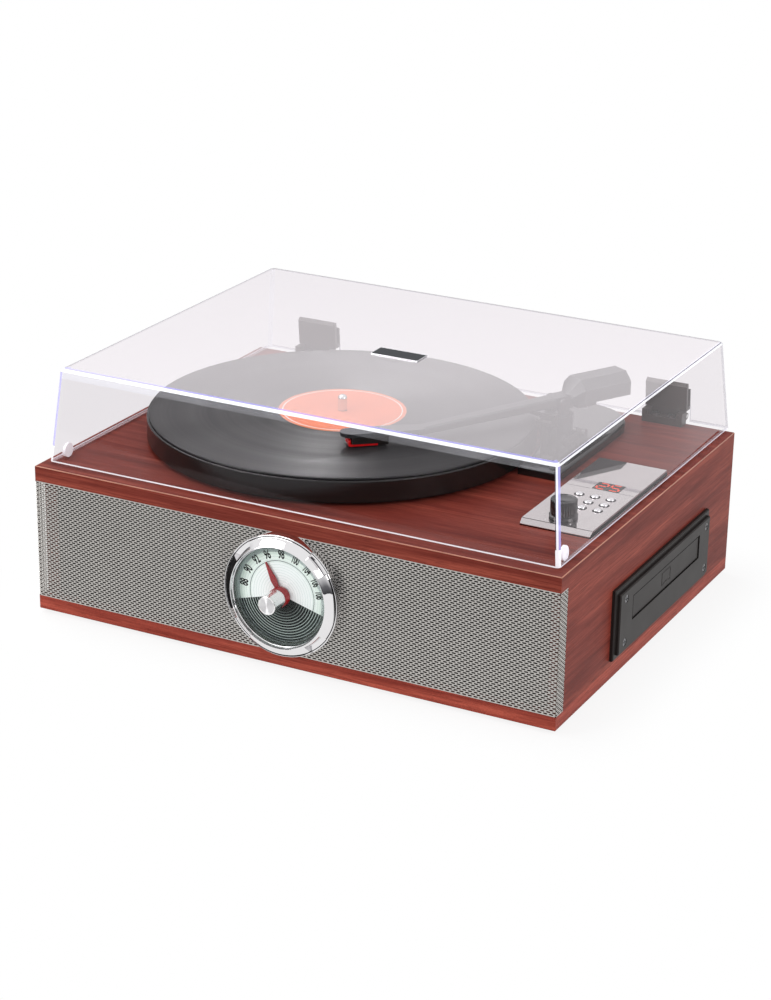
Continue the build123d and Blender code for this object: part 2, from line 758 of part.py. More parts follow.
def collect():
    pieces["deck_board"] = deck_board()
    pieces["bottom_board"] = bottom_board()
    pieces["left_side_board"] = side_board(-1)
    pieces["right_side_board"] = side_board(1)
    pieces["rear_panel"] = rear_panel()
    pieces["front_baffle"] = front_baffle()
    pieces["speaker_grille"] = speaker_grille()
    pieces["rubber_feet"] = rubber_feet()
    pieces["speaker_chassis"] = speaker_chassis()
    pieces["speaker_cones"] = speaker_cones()
    pieces["dust_cover"] = dust_cover_walls
    pieces["cover_badge"] = cover_badge()
    pieces["cover_bumpers"] = cover_bumpers()
    pieces["hinge_bases"] = hinge_bases()
    pieces["hinge_clips"] = hinge_clips()
    pieces["hinge_pins"] = hinge_pins()
    pieces["platter"] = platter()
    pieces["platter_mat"] = platter_mat()
    pieces["spindle"] = spindle()
    pieces["vinyl_record"] = vinyl_record()
    pieces["main_bearing"] = main_bearing()
    pieces["drive_belt"] = drive_belt()
    pieces["platter_motor"] = platter_motor()
    pieces["motor_pulley"] = motor_pulley()
    pieces["tonearm_plate"] = tonearm_plate()
    pieces["tonearm_turret"] = tonearm_turret()
    pieces["tonearm_beam"] = tonearm_beam()
    pieces["tonearm_rear_block"] = tonearm_rear_block()
    pieces["cartridge"] = cartridge()
    pieces["stylus"] = stylus()
    pieces["arm_rest"] = arm_rest()
    pieces["cue_lift_bar"] = cue_lift_bar()
    pieces["cue_lever"] = cue_lever()
    pieces["speed_switch"] = speed_switch()
    pieces["control_panel"] = control_panel()
    pieces["display_window"] = display_window()
    pieces["control_board"] = control_board()
    for name, (x, y) in zip(button_names, button_places()):
        pieces[name] = panel_button(x, y)
    pieces["volume_knob"] = volume_knob()
    pieces["dial_bezel"] = dial_bezel()
    pieces["dial_plate"] = dial_plate()
    pieces["dial_lens"] = dial_lens()
    pieces["dial_pointer"] = dial_pointer()
    pieces["tuning_knob"] = tuning_knob()
    pieces["tuning_capacitor"] = tuning_capacitor()
    pieces["cassette_frame"] = cassette_frame()
    pieces["cassette_flap"] = cassette_flap()
    pieces["cassette_well"] = cassette_well()
    pieces["cassette_mechanism"] = cassette_mechanism()
    pieces["main_board"] = main_board()
    pieces["rear_sockets"] = rear_sockets()
    pieces["cross_screws"] = screws


def write_all():
    """Writes each piece, moved so that the whole object's bottom centre is the origin."""
    whole = Compound(children=[as_compound(shape) for shape in pieces.values()])
    box = whole.bounding_box()
    shift = Pos(-box.center().X, -box.center().Y, -box.min.Z)
    print("moved by", [round(v, 4) for v in (-box.center().X, -box.center().Y, -box.min.Z)])
    print("size", [round(v, 3) for v in (box.size.X, box.size.Y, box.size.Z)])
    os.makedirs("parts", exist_ok=True)
    for name, shape in pieces.items():
        export_step(shift * as_compound(shape), "parts/" + name + ".step")


def as_compound(shape):
    solids = []
    for one in (shape if isinstance(shape, list) else [shape]):
        solids += list(one.solids())
    return solids[0] if len(solids) == 1 else Compound(solids)


dust_cover_walls = dust_cover()
collect()
write_all()
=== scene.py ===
import json
import math
import bpy
import numpy as np
from mathutils import Matrix, Vector

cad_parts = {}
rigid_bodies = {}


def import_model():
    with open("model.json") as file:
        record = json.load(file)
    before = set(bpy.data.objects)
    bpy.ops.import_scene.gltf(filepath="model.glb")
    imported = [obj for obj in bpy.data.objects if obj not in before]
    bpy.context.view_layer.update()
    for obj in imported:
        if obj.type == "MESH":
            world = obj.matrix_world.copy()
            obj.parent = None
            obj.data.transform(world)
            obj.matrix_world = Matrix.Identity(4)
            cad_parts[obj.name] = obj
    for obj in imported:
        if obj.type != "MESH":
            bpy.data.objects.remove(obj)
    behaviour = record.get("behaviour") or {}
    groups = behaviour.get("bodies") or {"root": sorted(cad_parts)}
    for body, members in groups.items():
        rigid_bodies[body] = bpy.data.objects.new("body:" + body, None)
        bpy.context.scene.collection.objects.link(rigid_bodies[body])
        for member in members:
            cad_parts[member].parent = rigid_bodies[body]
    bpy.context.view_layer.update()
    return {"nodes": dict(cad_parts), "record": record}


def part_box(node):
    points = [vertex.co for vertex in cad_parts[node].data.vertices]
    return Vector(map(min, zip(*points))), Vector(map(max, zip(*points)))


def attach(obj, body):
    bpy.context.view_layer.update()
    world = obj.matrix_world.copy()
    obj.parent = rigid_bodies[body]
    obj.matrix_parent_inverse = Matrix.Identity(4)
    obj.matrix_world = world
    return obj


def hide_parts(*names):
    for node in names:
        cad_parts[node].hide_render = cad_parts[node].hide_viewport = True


# Stereo music centre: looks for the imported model. Metres, x right along the front, y back, z up.

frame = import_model()
nodes = frame["nodes"]
mm = 0.001


def boxOf(name):
    low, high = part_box(name)
    return np.array(low), np.array(high)


def middleOf(name):
    low, high = boxOf(name)
    return (low + high) / 2


# ---------- mesh helpers

def gridQuads(rows, columns, wrapRows=False, wrapColumns=False, start=0):
    # index of (row, column) is row * columns + column; each quad joins four neighbours
    r = np.arange(rows if wrapRows else rows - 1)
    c = np.arange(columns if wrapColumns else columns - 1)
    r, c = np.meshgrid(r, c, indexing="ij")
    r2, c2 = (r + 1) % rows, (c + 1) % columns
    quads = np.stack([r * columns + c, r2 * columns + c, r2 * columns + c2, r * columns + c2], -1)
    return quads.reshape(-1, 4) + start


def addPiece(name, verts, faces, material, body, replaces=(), smooth=35, indices=None):
    mesh = bpy.data.meshes.new(name)
    faces = [list(map(int, f)) for f in faces]
    mesh.from_pydata(np.asarray(verts, float).tolist(), [], faces)
    mesh.validate()
    materials = material if isinstance(material, (list, tuple)) else [material]
    for one in materials:
        mesh.materials.append(one)
    if indices is not None:
        mesh.polygons.foreach_set("material_index", np.asarray(indices, np.int32))
    if smooth:
        mesh.shade_smooth()
        mesh.set_sharp_from_angle(angle=math.radians(smooth))
    piece = bpy.data.objects.new(name, mesh)
    bpy.context.scene.collection.objects.link(piece)
    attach(piece, body)
    for one in replaces:
        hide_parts(one)
    return piece


def turnOutwards(piece):
    # closed forms only: every face ends up pointing away from the solid
    bpy.ops.object.select_all(action="DESELECT")
    piece.select_set(True)
    bpy.context.view_layer.objects.active = piece
    bpy.ops.object.mode_set(mode="EDIT")
    bpy.ops.mesh.select_all(action="SELECT")
    bpy.ops.mesh.remove_doubles(threshold=0.00001)
    bpy.ops.mesh.normals_make_consistent(inside=False)
    bpy.ops.object.mode_set(mode="OBJECT")


def equalTurns(turns):
    return np.linspace(0, 2 * math.pi, turns, endpoint=False)


def turnedGrid(profile, angle):
    # radius and height of every point of a profile of (radius, height) carried round by the angles
    r = np.broadcast_to(profile[:, 0][:, None], (len(profile), len(angle)))
    return r, np.broadcast_to(profile[:, 1][:, None], r.shape)


def latheRings(profile, turns, centre):
    # a profile carried round an upright axis in equal steps
    angle = equalTurns(turns)
    r, h = turnedGrid(np.asarray(profile, float), angle)
    points = np.stack([r * np.cos(angle), r * np.sin(angle), h], -1)
    return points.reshape(-1, 3) + np.asarray(centre), gridQuads(len(profile), turns, wrapColumns=True)


def boxVerts(low, high):
    x, y, z = np.meshgrid([low[0], high[0]], [low[1], high[1]], [low[2], high[2]], indexing="ij")
    return np.stack([x.ravel(), y.ravel(), z.ravel()], -1)


boxFaces = np.array([[0, 1, 3, 2], [4, 6, 7, 5], [0, 4, 5, 1], [2, 3, 7, 6], [0, 2, 6, 4], [1, 5, 7, 3]])


def boxes(name, lows, highs, material, body, bevel=0, turn=None, replaces=()):
    # any number of plain bars as one mesh, softened by a bevel
    verts = np.concatenate([boxVerts(a, b) for a, b in zip(lows, highs)])
    faces = np.concatenate([boxFaces + 8 * i for i in range(len(lows))])
    if turn is not None:
        verts = turn(verts)
    piece = addPiece(name, verts, faces, material, body, replaces)
    if bevel:
        addBevel(piece, bevel)
    return piece


def addBevel(piece, width, segments=3, angle=30):
    bevel = piece.modifiers.new("soft edge", "BEVEL")
    bevel.width = width
    bevel.segments = segments
    bevel.limit_method = "ANGLE"
    bevel.angle_limit = math.radians(angle)
    bevel.harden_normals = True
    return bevel


def softened(node, material, body, width, segments=3, keep=None):
    # a merged copy of a CAD node with its edges rounded; keep picks the edges by their middle
    mesh = nodes[node].data.copy()
    mesh.name = node + "Soft"
    mesh.materials.clear()
    mesh.materials.append(material)
    piece = bpy.data.objects.new(node + "Soft", mesh)
    bpy.context.scene.collection.objects.link(piece)
    bpy.ops.object.select_all(action="DESELECT")
    piece.select_set(True)
    bpy.context.view_layer.objects.active = piece
    bpy.ops.object.mode_set(mode="EDIT")
    bpy.ops.mesh.select_all(action="SELECT")
    bpy.ops.mesh.remove_doubles(threshold=0.00001)
    bpy.ops.mesh.dissolve_limited(angle_limit=math.radians(0.5))
    bpy.ops.object.mode_set(mode="OBJECT")
    mesh.shade_smooth()
    mesh.set_sharp_from_angle(angle=math.radians(30))
    bevel = addBevel(piece, width, segments)
    if keep is not None:
        bevel.limit_method = "WEIGHT"
        verts = np.empty(len(mesh.vertices) * 3)
        mesh.vertices.foreach_get("co", verts)
        verts = verts.reshape(-1, 3)
        ends = np.empty(len(mesh.edges) * 2, np.int32)
        mesh.edges.foreach_get("vertices", ends)
        a, b = verts[ends[0::2]], verts[ends[1::2]]
        weight = np.where(keep(a, b), 1.0, 0.0)
        layer = mesh.attributes.new("bevel_weight_edge", "FLOAT", "EDGE")
        layer.data.foreach_set("value", weight)
    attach(piece, body)
    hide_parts(node)
    return piece


def textPiece(name, words, size, material, body, place, depth=0.1 * mm, stretch=1.0, bold=0.0):
    # flat lettering made a mesh; place maps (x, y, height) arrays to where it lies
    curve = bpy.data.curves.new(name, "FONT")
    curve.body = words
    curve.size = size
    curve.align_x = "CENTER"
    curve.align_y = "CENTER"
    curve.extrude = depth / 2
    curve.offset = bold
    holder = bpy.data.objects.new(name + "Curve", curve)
    mesh = bpy.data.meshes.new_from_object(holder)
    bpy.data.objects.remove(holder)
    mesh.name = name
    verts = np.empty(len(mesh.vertices) * 3)
    mesh.vertices.foreach_get("co", verts)
    verts = verts.reshape(-1, 3)
    verts[:, 0] *= stretch
    mesh.vertices.foreach_set("co", place(verts).ravel())
    mesh.materials.clear()
    mesh.materials.append(material)
    mesh.update()
    piece = bpy.data.objects.new(name, mesh)
    bpy.context.scene.collection.objects.link(piece)
    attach(piece, body)
    return piece


# ---------- material helpers

def newMaterial(name):
    material = bpy.data.materials.new(name)
    material.use_nodes = True
    tree = material.node_tree
    tree.nodes.clear()
    output = tree.nodes.new("ShaderNodeOutputMaterial")
    surface = tree.nodes.new("ShaderNodeBsdfPrincipled")
    tree.links.new(surface.outputs[0], output.inputs[0])
    return material, tree, surface, output


def add(tree, kind, settings=None, **inputs):
    made = tree.nodes.new(kind)
    for key, value in (settings or {}).items():
        setattr(made, key, value)
    for key, value in inputs.items():
        socket = made.inputs[int(key[2:])] if key.startswith("in") and key[2:].isdigit() else made.inputs[key]
        if isinstance(value, bpy.types.NodeSocket):
            tree.links.new(value, socket)
        else:
            socket.default_value = value
    return made


def math2(tree, operation, a, b=0.0):
    return add(tree, "ShaderNodeMath", {"operation": operation}, in0=a, in1=b).outputs[0]


def mapped(tree, value, low, high, fromLow=0.0, fromHigh=1.0):
    # value stretched from one range to another
    ends = {"From Min": fromLow, "From Max": fromHigh, "To Min": low, "To Max": high}
    return add(tree, "ShaderNodeMapRange", Value=value, **ends).outputs[0]


def ramp(tree, value, stops, interpolation="LINEAR"):
    made = add(tree, "ShaderNodeValToRGB", in0=value)
    made.color_ramp.interpolation = interpolation
    elements = made.color_ramp.elements
    while len(elements) < len(stops):
        elements.new(0.5)
    for element, (position, colour) in zip(elements, stops):
        element.position = position
        element.color = (*colour, 1) if len(colour) == 3 else colour
    return made.outputs[0]


def mixColour(tree, factor, a, b, blend="MIX"):
    made = tree.nodes.new("ShaderNodeMix")
    made.data_type = "RGBA"
    made.blend_type = blend
    for socket, value in ((made.inputs[0], factor), (made.inputs[6], a), (made.inputs[7], b)):
        if isinstance(value, bpy.types.NodeSocket):
            tree.links.new(value, socket)
        else:
            socket.default_value = value if not isinstance(value, tuple) or len(value) == 4 else (*value, 1)
    return made.outputs[2]


def objectPlace(tree, move=(0, 0, 0), scale=(1, 1, 1)):
    coordinates = add(tree, "ShaderNodeTexCoord").outputs["Object"]
    return add(tree, "ShaderNodeMapping", Vector=coordinates, Location=move, Scale=scale).outputs[0]


def noise(tree, vector, scale, detail=3.0, rough=0.5, distortion=0.0):
    made = add(tree, "ShaderNodeTexNoise", Vector=vector, Scale=scale, Detail=detail,
               Roughness=rough, Distortion=distortion)
    return made.outputs[0]


def bump(tree, height, strength, distance, surface):
    made = add(tree, "ShaderNodeBump", Height=height, Strength=strength, Distance=distance)
    tree.links.new(made.outputs[0], surface.inputs["Normal"])
    return made


def moulded(name, colour, rough, grain=900, depth=0.02, spread=0.12, **extra):
    # moulded or painted stuff: faint mottling of its colour, uneven sheen and a fine skin
    material, tree, surface, output = newMaterial(name)
    place = objectPlace(tree)
    broad = noise(tree, place, 30, 4)
    dark = tuple(c * (1 - spread) for c in colour)
    light = tuple(min(1, c * (1 + spread)) for c in colour)
    tree.links.new(ramp(tree, broad, [(0.3, dark), (0.7, light)]), surface.inputs["Base Color"])
    sheen = mapped(tree, noise(tree, place, 40, 1), rough * 0.9, min(1, rough * 1.12))
    tree.links.new(sheen, surface.inputs["Roughness"])
    bump(tree, noise(tree, place, grain, 2), depth, 0.0004, surface)
    for key, value in extra.items():
        surface.inputs[key.replace("_", " ")].default_value = value
    return material


def metal(name, colour, rough, stretch=(1, 1, 1), scale=400, depth=0.03, spread=0.06):
    # bare metal: fine scratches along the direction that stretch leaves long
    material, tree, surface, output = newMaterial(name)
    place = objectPlace(tree, scale=stretch)
    lines = noise(tree, place, scale, 3)
    dark = tuple(c * (1 - spread) for c in colour)
    tree.links.new(ramp(tree, lines, [(0.35, dark), (0.65, colour)]), surface.inputs["Base Color"])
    tree.links.new(mapped(tree, lines, rough * 0.8, rough * 1.25), surface.inputs["Roughness"])
    surface.inputs["Metallic"].default_value = 1
    bump(tree, lines, depth, 0.0002, surface)
    return material


# ---------- materials

woodSettings = {
    "dark": (0.112, 0.0165, 0.0110),
    "middle": (0.202, 0.0360, 0.0240),
    "light": (0.315, 0.067, 0.043),
    "pore": (0.030, 0.005, 0.0035),
    "rough": 0.38,
    "level": 0.06,           # how much the foil mirrors
}


def mahoganyMaterial(name, lift):
    # straight-grained red wood foil; faces that look sideways have their grain from front to back
    material, tree, surface, output = newMaterial(name)
    coordinates = add(tree, "ShaderNodeTexCoord").outputs["Object"]
    parts = add(tree, "ShaderNodeSeparateXYZ", Vector=coordinates)
    turned = add(tree, "ShaderNodeCombineXYZ", X=parts.outputs[1], Y=parts.outputs[0], Z=parts.outputs[2])
    normal = add(tree, "ShaderNodeSeparateXYZ", Vector=add(tree, "ShaderNodeNewGeometry").outputs["Normal"])
    sideways = math2(tree, "GREATER_THAN", math2(tree, "ABSOLUTE", normal.outputs[0]), 0.75)
    pick = tree.nodes.new("ShaderNodeMix")
    pick.data_type = "VECTOR"
    tree.links.new(sideways, pick.inputs[0])
    tree.links.new(coordinates, pick.inputs[4])
    tree.links.new(turned.outputs[0], pick.inputs[5])

    def drawnOut(lengthways, across):
        scale = (lengthways, across, across)
        return add(tree, "ShaderNodeMapping", Vector=pick.outputs[1], Scale=scale).outputs[0]

    bands = noise(tree, drawnOut(1.1, 22), 4.2, 6, 0.62, 0.4)
    veins = noise(tree, drawnOut(4, 140), 6, 5, 0.7, 0.2)
    pores = noise(tree, drawnOut(14, 420), 5, 2, 0.5)
    dark, middle, light = (tuple(c * lift for c in woodSettings[k]) for k in ("dark", "middle", "light"))
    base = ramp(tree, bands, [(0.30, dark), (0.46, middle), (0.66, light)])
    veinShare = ramp(tree, veins, [(0.40, (0, 0, 0)), (0.66, (0.8, 0.8, 0.8))])
    poreShare = ramp(tree, pores, [(0.60, (0, 0, 0)), (0.72, (0.55, 0.55, 0.55))])
    veined = mixColour(tree, veinShare, base, dark)
    pored = mixColour(tree, poreShare, veined, woodSettings["pore"])
    tree.links.new(pored, surface.inputs["Base Color"])
    surface.inputs["Specular IOR Level"].default_value = woodSettings["level"]
    rough = woodSettings["rough"]
    tree.links.new(mapped(tree, veins, rough - 0.06, rough + 0.10), surface.inputs["Roughness"])
    bump(tree, pores, 0.12, 0.0003, surface)
    return material


def facingAmount(tree, straight, power):
    # share of mirror: a floor value looked at square on, growing to one at glancing angles
    facing = add(tree, "ShaderNodeLayerWeight", Blend=0.5).outputs["Facing"]
    grown = math2(tree, "POWER", facing, power)
    made = add(tree, "ShaderNodeMath", {"operation": "MULTIPLY_ADD"}, in0=grown, in1=1 - straight,
               in2=straight)
    return made.outputs[0]


def aroundAxis(tree, centre, axis):
    # distance from an axis through centre, and the directions straight out from it and along it
    place = add(tree, "ShaderNodeVectorMath", {"operation": "SUBTRACT"},
                in0=add(tree, "ShaderNodeTexCoord").outputs["Object"], in1=tuple(centre)).outputs[0]
    flat = [1, 1, 1]
    flat["xyz".index(axis)] = 0
    spoke = add(tree, "ShaderNodeVectorMath", {"operation": "MULTIPLY"}, in0=place,
                in1=tuple(flat)).outputs[0]
    radius = add(tree, "ShaderNodeVectorMath", {"operation": "LENGTH"}, in0=spoke).outputs["Value"]
    axle = tuple(1.0 if letter == axis else 0.0 for letter in "xyz")

    def inWorld(vector):
        moved = add(tree, "ShaderNodeVectorTransform", {"vector_type": "VECTOR", "convert_from": "OBJECT",
                                                        "convert_to": "WORLD"}, Vector=vector).outputs[0]
        return add(tree, "ShaderNodeVectorMath", {"operation": "NORMALIZE"}, in0=moved).outputs[0]

    return radius, inWorld(spoke), inWorld(axle)


vinylSettings = {
    "grooveDark": (0.003, 0.003, 0.0035),
    "grooveSheenLight": (0.024, 0.023, 0.024),
    "tracks": 55,           # how quickly louder and quieter bands follow each other
    "rough": (0.37, 0.49),
    "drawn": 0.95,
}


def recordMaterial(centre):
    # pressed vinyl: fine grooves as ripples of the radius, bands of louder and quieter music; the paler rings
    # in its colour are a painted sheen
    v = vinylSettings
    material, tree, surface, output = newMaterial("pressedVinyl")
    radius, outward = aroundAxis(tree, centre, "z")[:2]
    ripple = math2(tree, "SINE", math2(tree, "MULTIPLY", radius, 2 * math.pi / (0.9 * mm)))
    loudSheen = noise(tree, add(tree, "ShaderNodeCombineXYZ", X=radius).outputs[0], 260, 4, 0.7)
    bands = noise(tree, add(tree, "ShaderNodeCombineXYZ", X=radius).outputs[0], v["tracks"], 2, 0.5)
    # the rings from dark to the paler groove colour are a painted sheen on the black vinyl
    tree.links.new(ramp(tree, loudSheen, [(0.3, v["grooveDark"]), (0.7, v["grooveSheenLight"])]),
                   surface.inputs["Base Color"])
    tree.links.new(mapped(tree, bands, *v["rough"], 0.35, 0.65), surface.inputs["Roughness"])
    surface.inputs["Anisotropic"].default_value = v["drawn"]
    tree.links.new(outward, surface.inputs["Tangent"])
    bump(tree, ripple, 0.01, 0.0002, surface)
    return material


def acrylicMaterial(name, tint, straight, power, rough=0.02, mirror=(1, 1, 1)):
    # thin clear sheet: see-through, with a mirror layer on its outside that grows towards glancing angles
    material, tree, surface, output = newMaterial(name)
    tree.nodes.remove(surface)
    clear = add(tree, "ShaderNodeBsdfTransparent", Color=(*tint, 1))
    shine = add(tree, "ShaderNodeBsdfGlossy", Color=(*mirror, 1), Roughness=rough)
    wave = noise(tree, objectPlace(tree), 14, 1)
    ripple = add(tree, "ShaderNodeBump", Height=wave, Strength=0.04, Distance=0.0004)
    tree.links.new(ripple.outputs[0], shine.inputs["Normal"])
    back = add(tree, "ShaderNodeNewGeometry").outputs["Backfacing"]
    amount = math2(tree, "MULTIPLY", facingAmount(tree, straight, power),
                   math2(tree, "SUBTRACT", 1.0, back))
    blend = add(tree, "ShaderNodeMixShader", in0=amount, in1=clear.outputs[0], in2=shine.outputs[0])
    tree.links.new(blend.outputs[0], output.inputs[0])
    return material


def innerSkinMaterial(name, tint, share):
    # the far side of a clear sheet: all but unseen, with the faintest uneven shine
    material, tree, surface, output = newMaterial(name)
    tree.nodes.remove(surface)
    clear = add(tree, "ShaderNodeBsdfTransparent", Color=(*tint, 1))
    shine = add(tree, "ShaderNodeBsdfGlossy", Color=(1, 1, 1, 1), Roughness=0.05)
    amount = math2(tree, "MULTIPLY", noise(tree, objectPlace(tree), 20, 1), share)
    blend = add(tree, "ShaderNodeMixShader", in0=amount, in1=clear.outputs[0], in2=shine.outputs[0])
    tree.links.new(blend.outputs[0], output.inputs[0])
    return material


def paintedEdgeLightAndShadeMaterial(name, colour, cover, glow):
    # polished cut edge of clear sheet with painted highlights, glows and shades: part clear, part pale and
    # glossy; its emission is a painted glow
    material, tree, surface, output = newMaterial(name)
    material.cycles.emission_sampling = "NONE"
    streak = noise(tree, objectPlace(tree), 22, 2)
    surface.inputs["Base Color"].default_value = (*colour, 1)
    surface.inputs["Roughness"].default_value = 0.12
    surface.inputs["Emission Color"].default_value = (*colour, 1)
    surface.inputs["Emission Strength"].default_value = glow
    clear = add(tree, "ShaderNodeBsdfTransparent", Color=(0.96, 0.96, 1, 1))
    amount = mapped(tree, streak, cover - 0.12, cover + 0.12)
    blend = add(tree, "ShaderNodeMixShader", in0=amount, in1=clear.outputs[0], in2=surface.outputs[0])
    tree.links.new(blend.outputs[0], output.inputs[0])
    return material


def spunMetalMaterial(name, colour, rough, centre, axis, drawn, barrel):
    # turned metal: tool marks run round the axis, and highlights stretch across them
    material, tree, surface, output = newMaterial(name)
    radius, outward, lengthways = aroundAxis(tree, centre, axis)
    rings = noise(tree, add(tree, "ShaderNodeCombineXYZ", X=radius).outputs[0], 1100, 2)
    tree.links.new(ramp(tree, rings, [(0.3, tuple(c * 0.93 for c in colour)), (0.7, colour)]),
                   surface.inputs["Base Color"])
    surface.inputs["Metallic"].default_value = 1
    surface.inputs["Roughness"].default_value = rough
    surface.inputs["Anisotropic"].default_value = drawn
    tree.links.new(lengthways if barrel else outward, surface.inputs["Tangent"])
    bump(tree, rings, 0.01, 0.0001, surface)
    return material


dialSettings = {
    "sectorHalfAngle": math.radians(105.5),   # pale part, from straight up to each side
    "faceRadius": 38 * mm,
    "mainRing": 26.6 * mm,
    "ringPitch": 2.05 * mm,
    "numberRadius": 31.6 * mm,
    "numbers": ((-83, "88"), (-62, "90"), (-42, "92"), (-22.5, "96"), (-1, "98"), (20.5, "100"),
                (41, "104"), (60.5, "106"), (78.5, "108")),
    "numberSize": 9.4 * mm,
    "twoDigitWidth": 0.56,      # share of the font's own width
    "threeDigitWidth": 0.44,
    "inkSpread": 0.24 * mm,     # makes the strokes bolder
    "plateProud": 4.5 * mm,
}


def dialMaterial(centre):
    # printed scale: mint towards the rim, white in the middle, thin rings, and a black lower sector
    material, tree, surface, output = newMaterial("printedScale")
    place = objectPlace(tree, move=(-centre[0], 0, -centre[2]))
    parts = add(tree, "ShaderNodeSeparateXYZ", Vector=place)
    x, z = parts.outputs[0], parts.outputs[2]
    radius = math2(tree, "SQRT",
                   math2(tree, "ADD", math2(tree, "MULTIPLY", x, x), math2(tree, "MULTIPLY", z, z)))
    angle = math2(tree, "ABSOLUTE", math2(tree, "ARCTAN2", x, z))
    lower = math2(tree, "GREATER_THAN", angle, dialSettings["sectorHalfAngle"])
    phase = math2(tree, "FRACT", math2(tree, "DIVIDE", radius, dialSettings["ringPitch"]))
    line = math2(tree, "LESS_THAN", math2(tree, "ABSOLUTE", math2(tree, "SUBTRACT", phase, 0.5)), 0.13)
    gap = math2(tree, "ABSOLUTE", math2(tree, "SUBTRACT", radius, dialSettings["mainRing"]))
    bold = math2(tree, "LESS_THAN", gap, 0.32 * mm)
    outside = math2(tree, "GREATER_THAN", radius, dialSettings["mainRing"])
    pale = ramp(tree, math2(tree, "DIVIDE", radius, dialSettings["faceRadius"]),
                [(0.0, (1.0, 1.0, 1.0)), (0.62, (0.95, 1.0, 0.98)), (0.84, (0.84, 0.95, 0.86)),
                 (1.0, (0.60, 0.78, 0.62))])
    faint = mixColour(tree, math2(tree, "MULTIPLY", line, 0.34), pale, (0.48, 0.62, 0.56))
    strong = mixColour(tree, math2(tree, "MULTIPLY", bold, 0.9), faint, (0.05, 0.09, 0.08))
    strength = ramp(tree, math2(tree, "DIVIDE", radius, dialSettings["faceRadius"]),
                    [(0.28, (0, 0, 0)), (0.5, (0.5, 0.5, 0.5)), (0.7, (0.85, 0.85, 0.85))])
    bright = math2(tree, "MULTIPLY", line, strength)
    night = mixColour(tree, bright, (0.002, 0.005, 0.0045), (0.50, 0.60, 0.56))
    night2 = mixColour(tree, math2(tree, "MULTIPLY", outside, 0.10), night, (0.12, 0.17, 0.15))
    both = mixColour(tree, lower, strong, night2)
    stain = noise(tree, place, 60, 3)
    tinted = mixColour(tree, math2(tree, "MULTIPLY", stain, 0.12), both, (0.80, 0.93, 0.86))
    tree.links.new(mixColour(tree, lower, tinted, both), surface.inputs["Base Color"])
    surface.inputs["Roughness"].default_value = 0.50
    surface.inputs["Specular IOR Level"].default_value = 0.15
    bump(tree, line, 0.05, 0.0001, surface)
    return material


discCentre = middleOf("platter")
deckShift = middleOf("deck_board")
dialCentre = middleOf("dial_plate")
mahogany = mahoganyMaterial("mahogany", 1.0)
# the bottom board has the same wood made 1.6 times brighter
brightenedMahogany = mahoganyMaterial("brightenedMahogany", 1.6)
blackBoard = moulded("blackBoard", (0.012, 0.012, 0.012), 0.9, grain=500, depth=0.2)
grilleSilver = metal("grilleSilver", (0.52, 0.50, 0.475), 0.36, scale=120)
# paler red for the deck's rounded top arris: a painted highlight
woodEdgeHighlight = moulded("woodEdgeHighlight", (0.50, 0.22, 0.15), 0.35, grain=900, depth=0.03, spread=0.25)
softBlack = moulded("softBlack", (0.016, 0.016, 0.017), 0.72, grain=600, depth=0.08)
satinBlack = moulded("satinBlack", (0.015, 0.0115, 0.0105), 0.42, grain=1400, depth=0.05,
                     Specular_IOR_Level=0.20)
glossBlack = moulded("glossBlack", (0.009, 0.0078, 0.007), 0.24, grain=300, depth=0.001,
                     Specular_IOR_Level=0.45)
ribBlack = moulded("ribBlack", (0.006, 0.006, 0.006), 0.11, grain=300, depth=0.001, Specular_IOR_Level=1.0)
plateBlack = moulded("plateBlack", (0.008, 0.0075, 0.007), 0.10, grain=300, depth=0.002)
armBlack = moulded("armBlack", (0.016, 0.016, 0.018), 0.30, grain=900, depth=0.01, Specular_IOR_Level=0.9)
# pale grey for the rounded edges of the black tonearm: a painted highlight
armEdgeHighlight = moulded("armEdgeHighlight", (0.60, 0.59, 0.59), 0.25, grain=900, depth=0.01)
hingeBrown = moulded("hingeBrown", (0.040, 0.029, 0.024), 0.36, grain=1400, depth=0.04,
                     Specular_IOR_Level=0.4)
# pale brown for the rounded edges of the hinge clips: a painted highlight
hingeEdgeHighlight = moulded("hingeEdgeHighlight", (0.30, 0.26, 0.24), 0.35, grain=1400, depth=0.02)
pressedVinyl = recordMaterial(discCentre)
labelOrange = moulded("labelOrange", (0.86, 0.19, 0.055), 0.55, grain=1200, depth=0.05, spread=0.05)
labelPale = moulded("labelPale", (0.93, 0.86, 0.82), 0.55, grain=1200, depth=0.05, spread=0.02)
labelRim = moulded("labelRim", (0.84, 0.24, 0.10), 0.55, grain=1200, depth=0.05, spread=0.03)
# near-black for the bezel's groove, the flap's seam and the panel's shadow lines: painted shade
gapBlack = moulded("gapBlack", (0.002, 0.002, 0.002), 0.9, grain=500, depth=0.02, Specular_IOR_Level=0.05)
steel = metal("polishedSteel", (0.72, 0.72, 0.72), 0.14)
motorSteel = metal("motorSteel", (0.45, 0.45, 0.46), 0.35)
brass = metal("turnedBrass", (0.72, 0.52, 0.22), 0.25)
chrome = metal("brightChrome", (0.86, 0.86, 0.87), 0.045, scale=60, depth=0.004, spread=0.02)
bezelChrome = metal("bezelChrome", (0.80, 0.79, 0.80), 0.035, scale=60, depth=0.004, spread=0.02)
mirrorSilver = metal("mirrorSilver", (0.68, 0.645, 0.64), 0.03, stretch=(1, 0.2, 1), scale=90, depth=0.006,
                     spread=0.03)
smoked = moulded("smokedWindow", (0.010, 0.010, 0.006), 0.05, grain=200, depth=0.002)
digitRed = moulded("digitRed", (0.80, 0.09, 0.05), 0.4, grain=500, depth=0.01, spread=0.05,
                   Emission_Color=(0.85, 0.12, 0.07, 1), Emission_Strength=0.35)
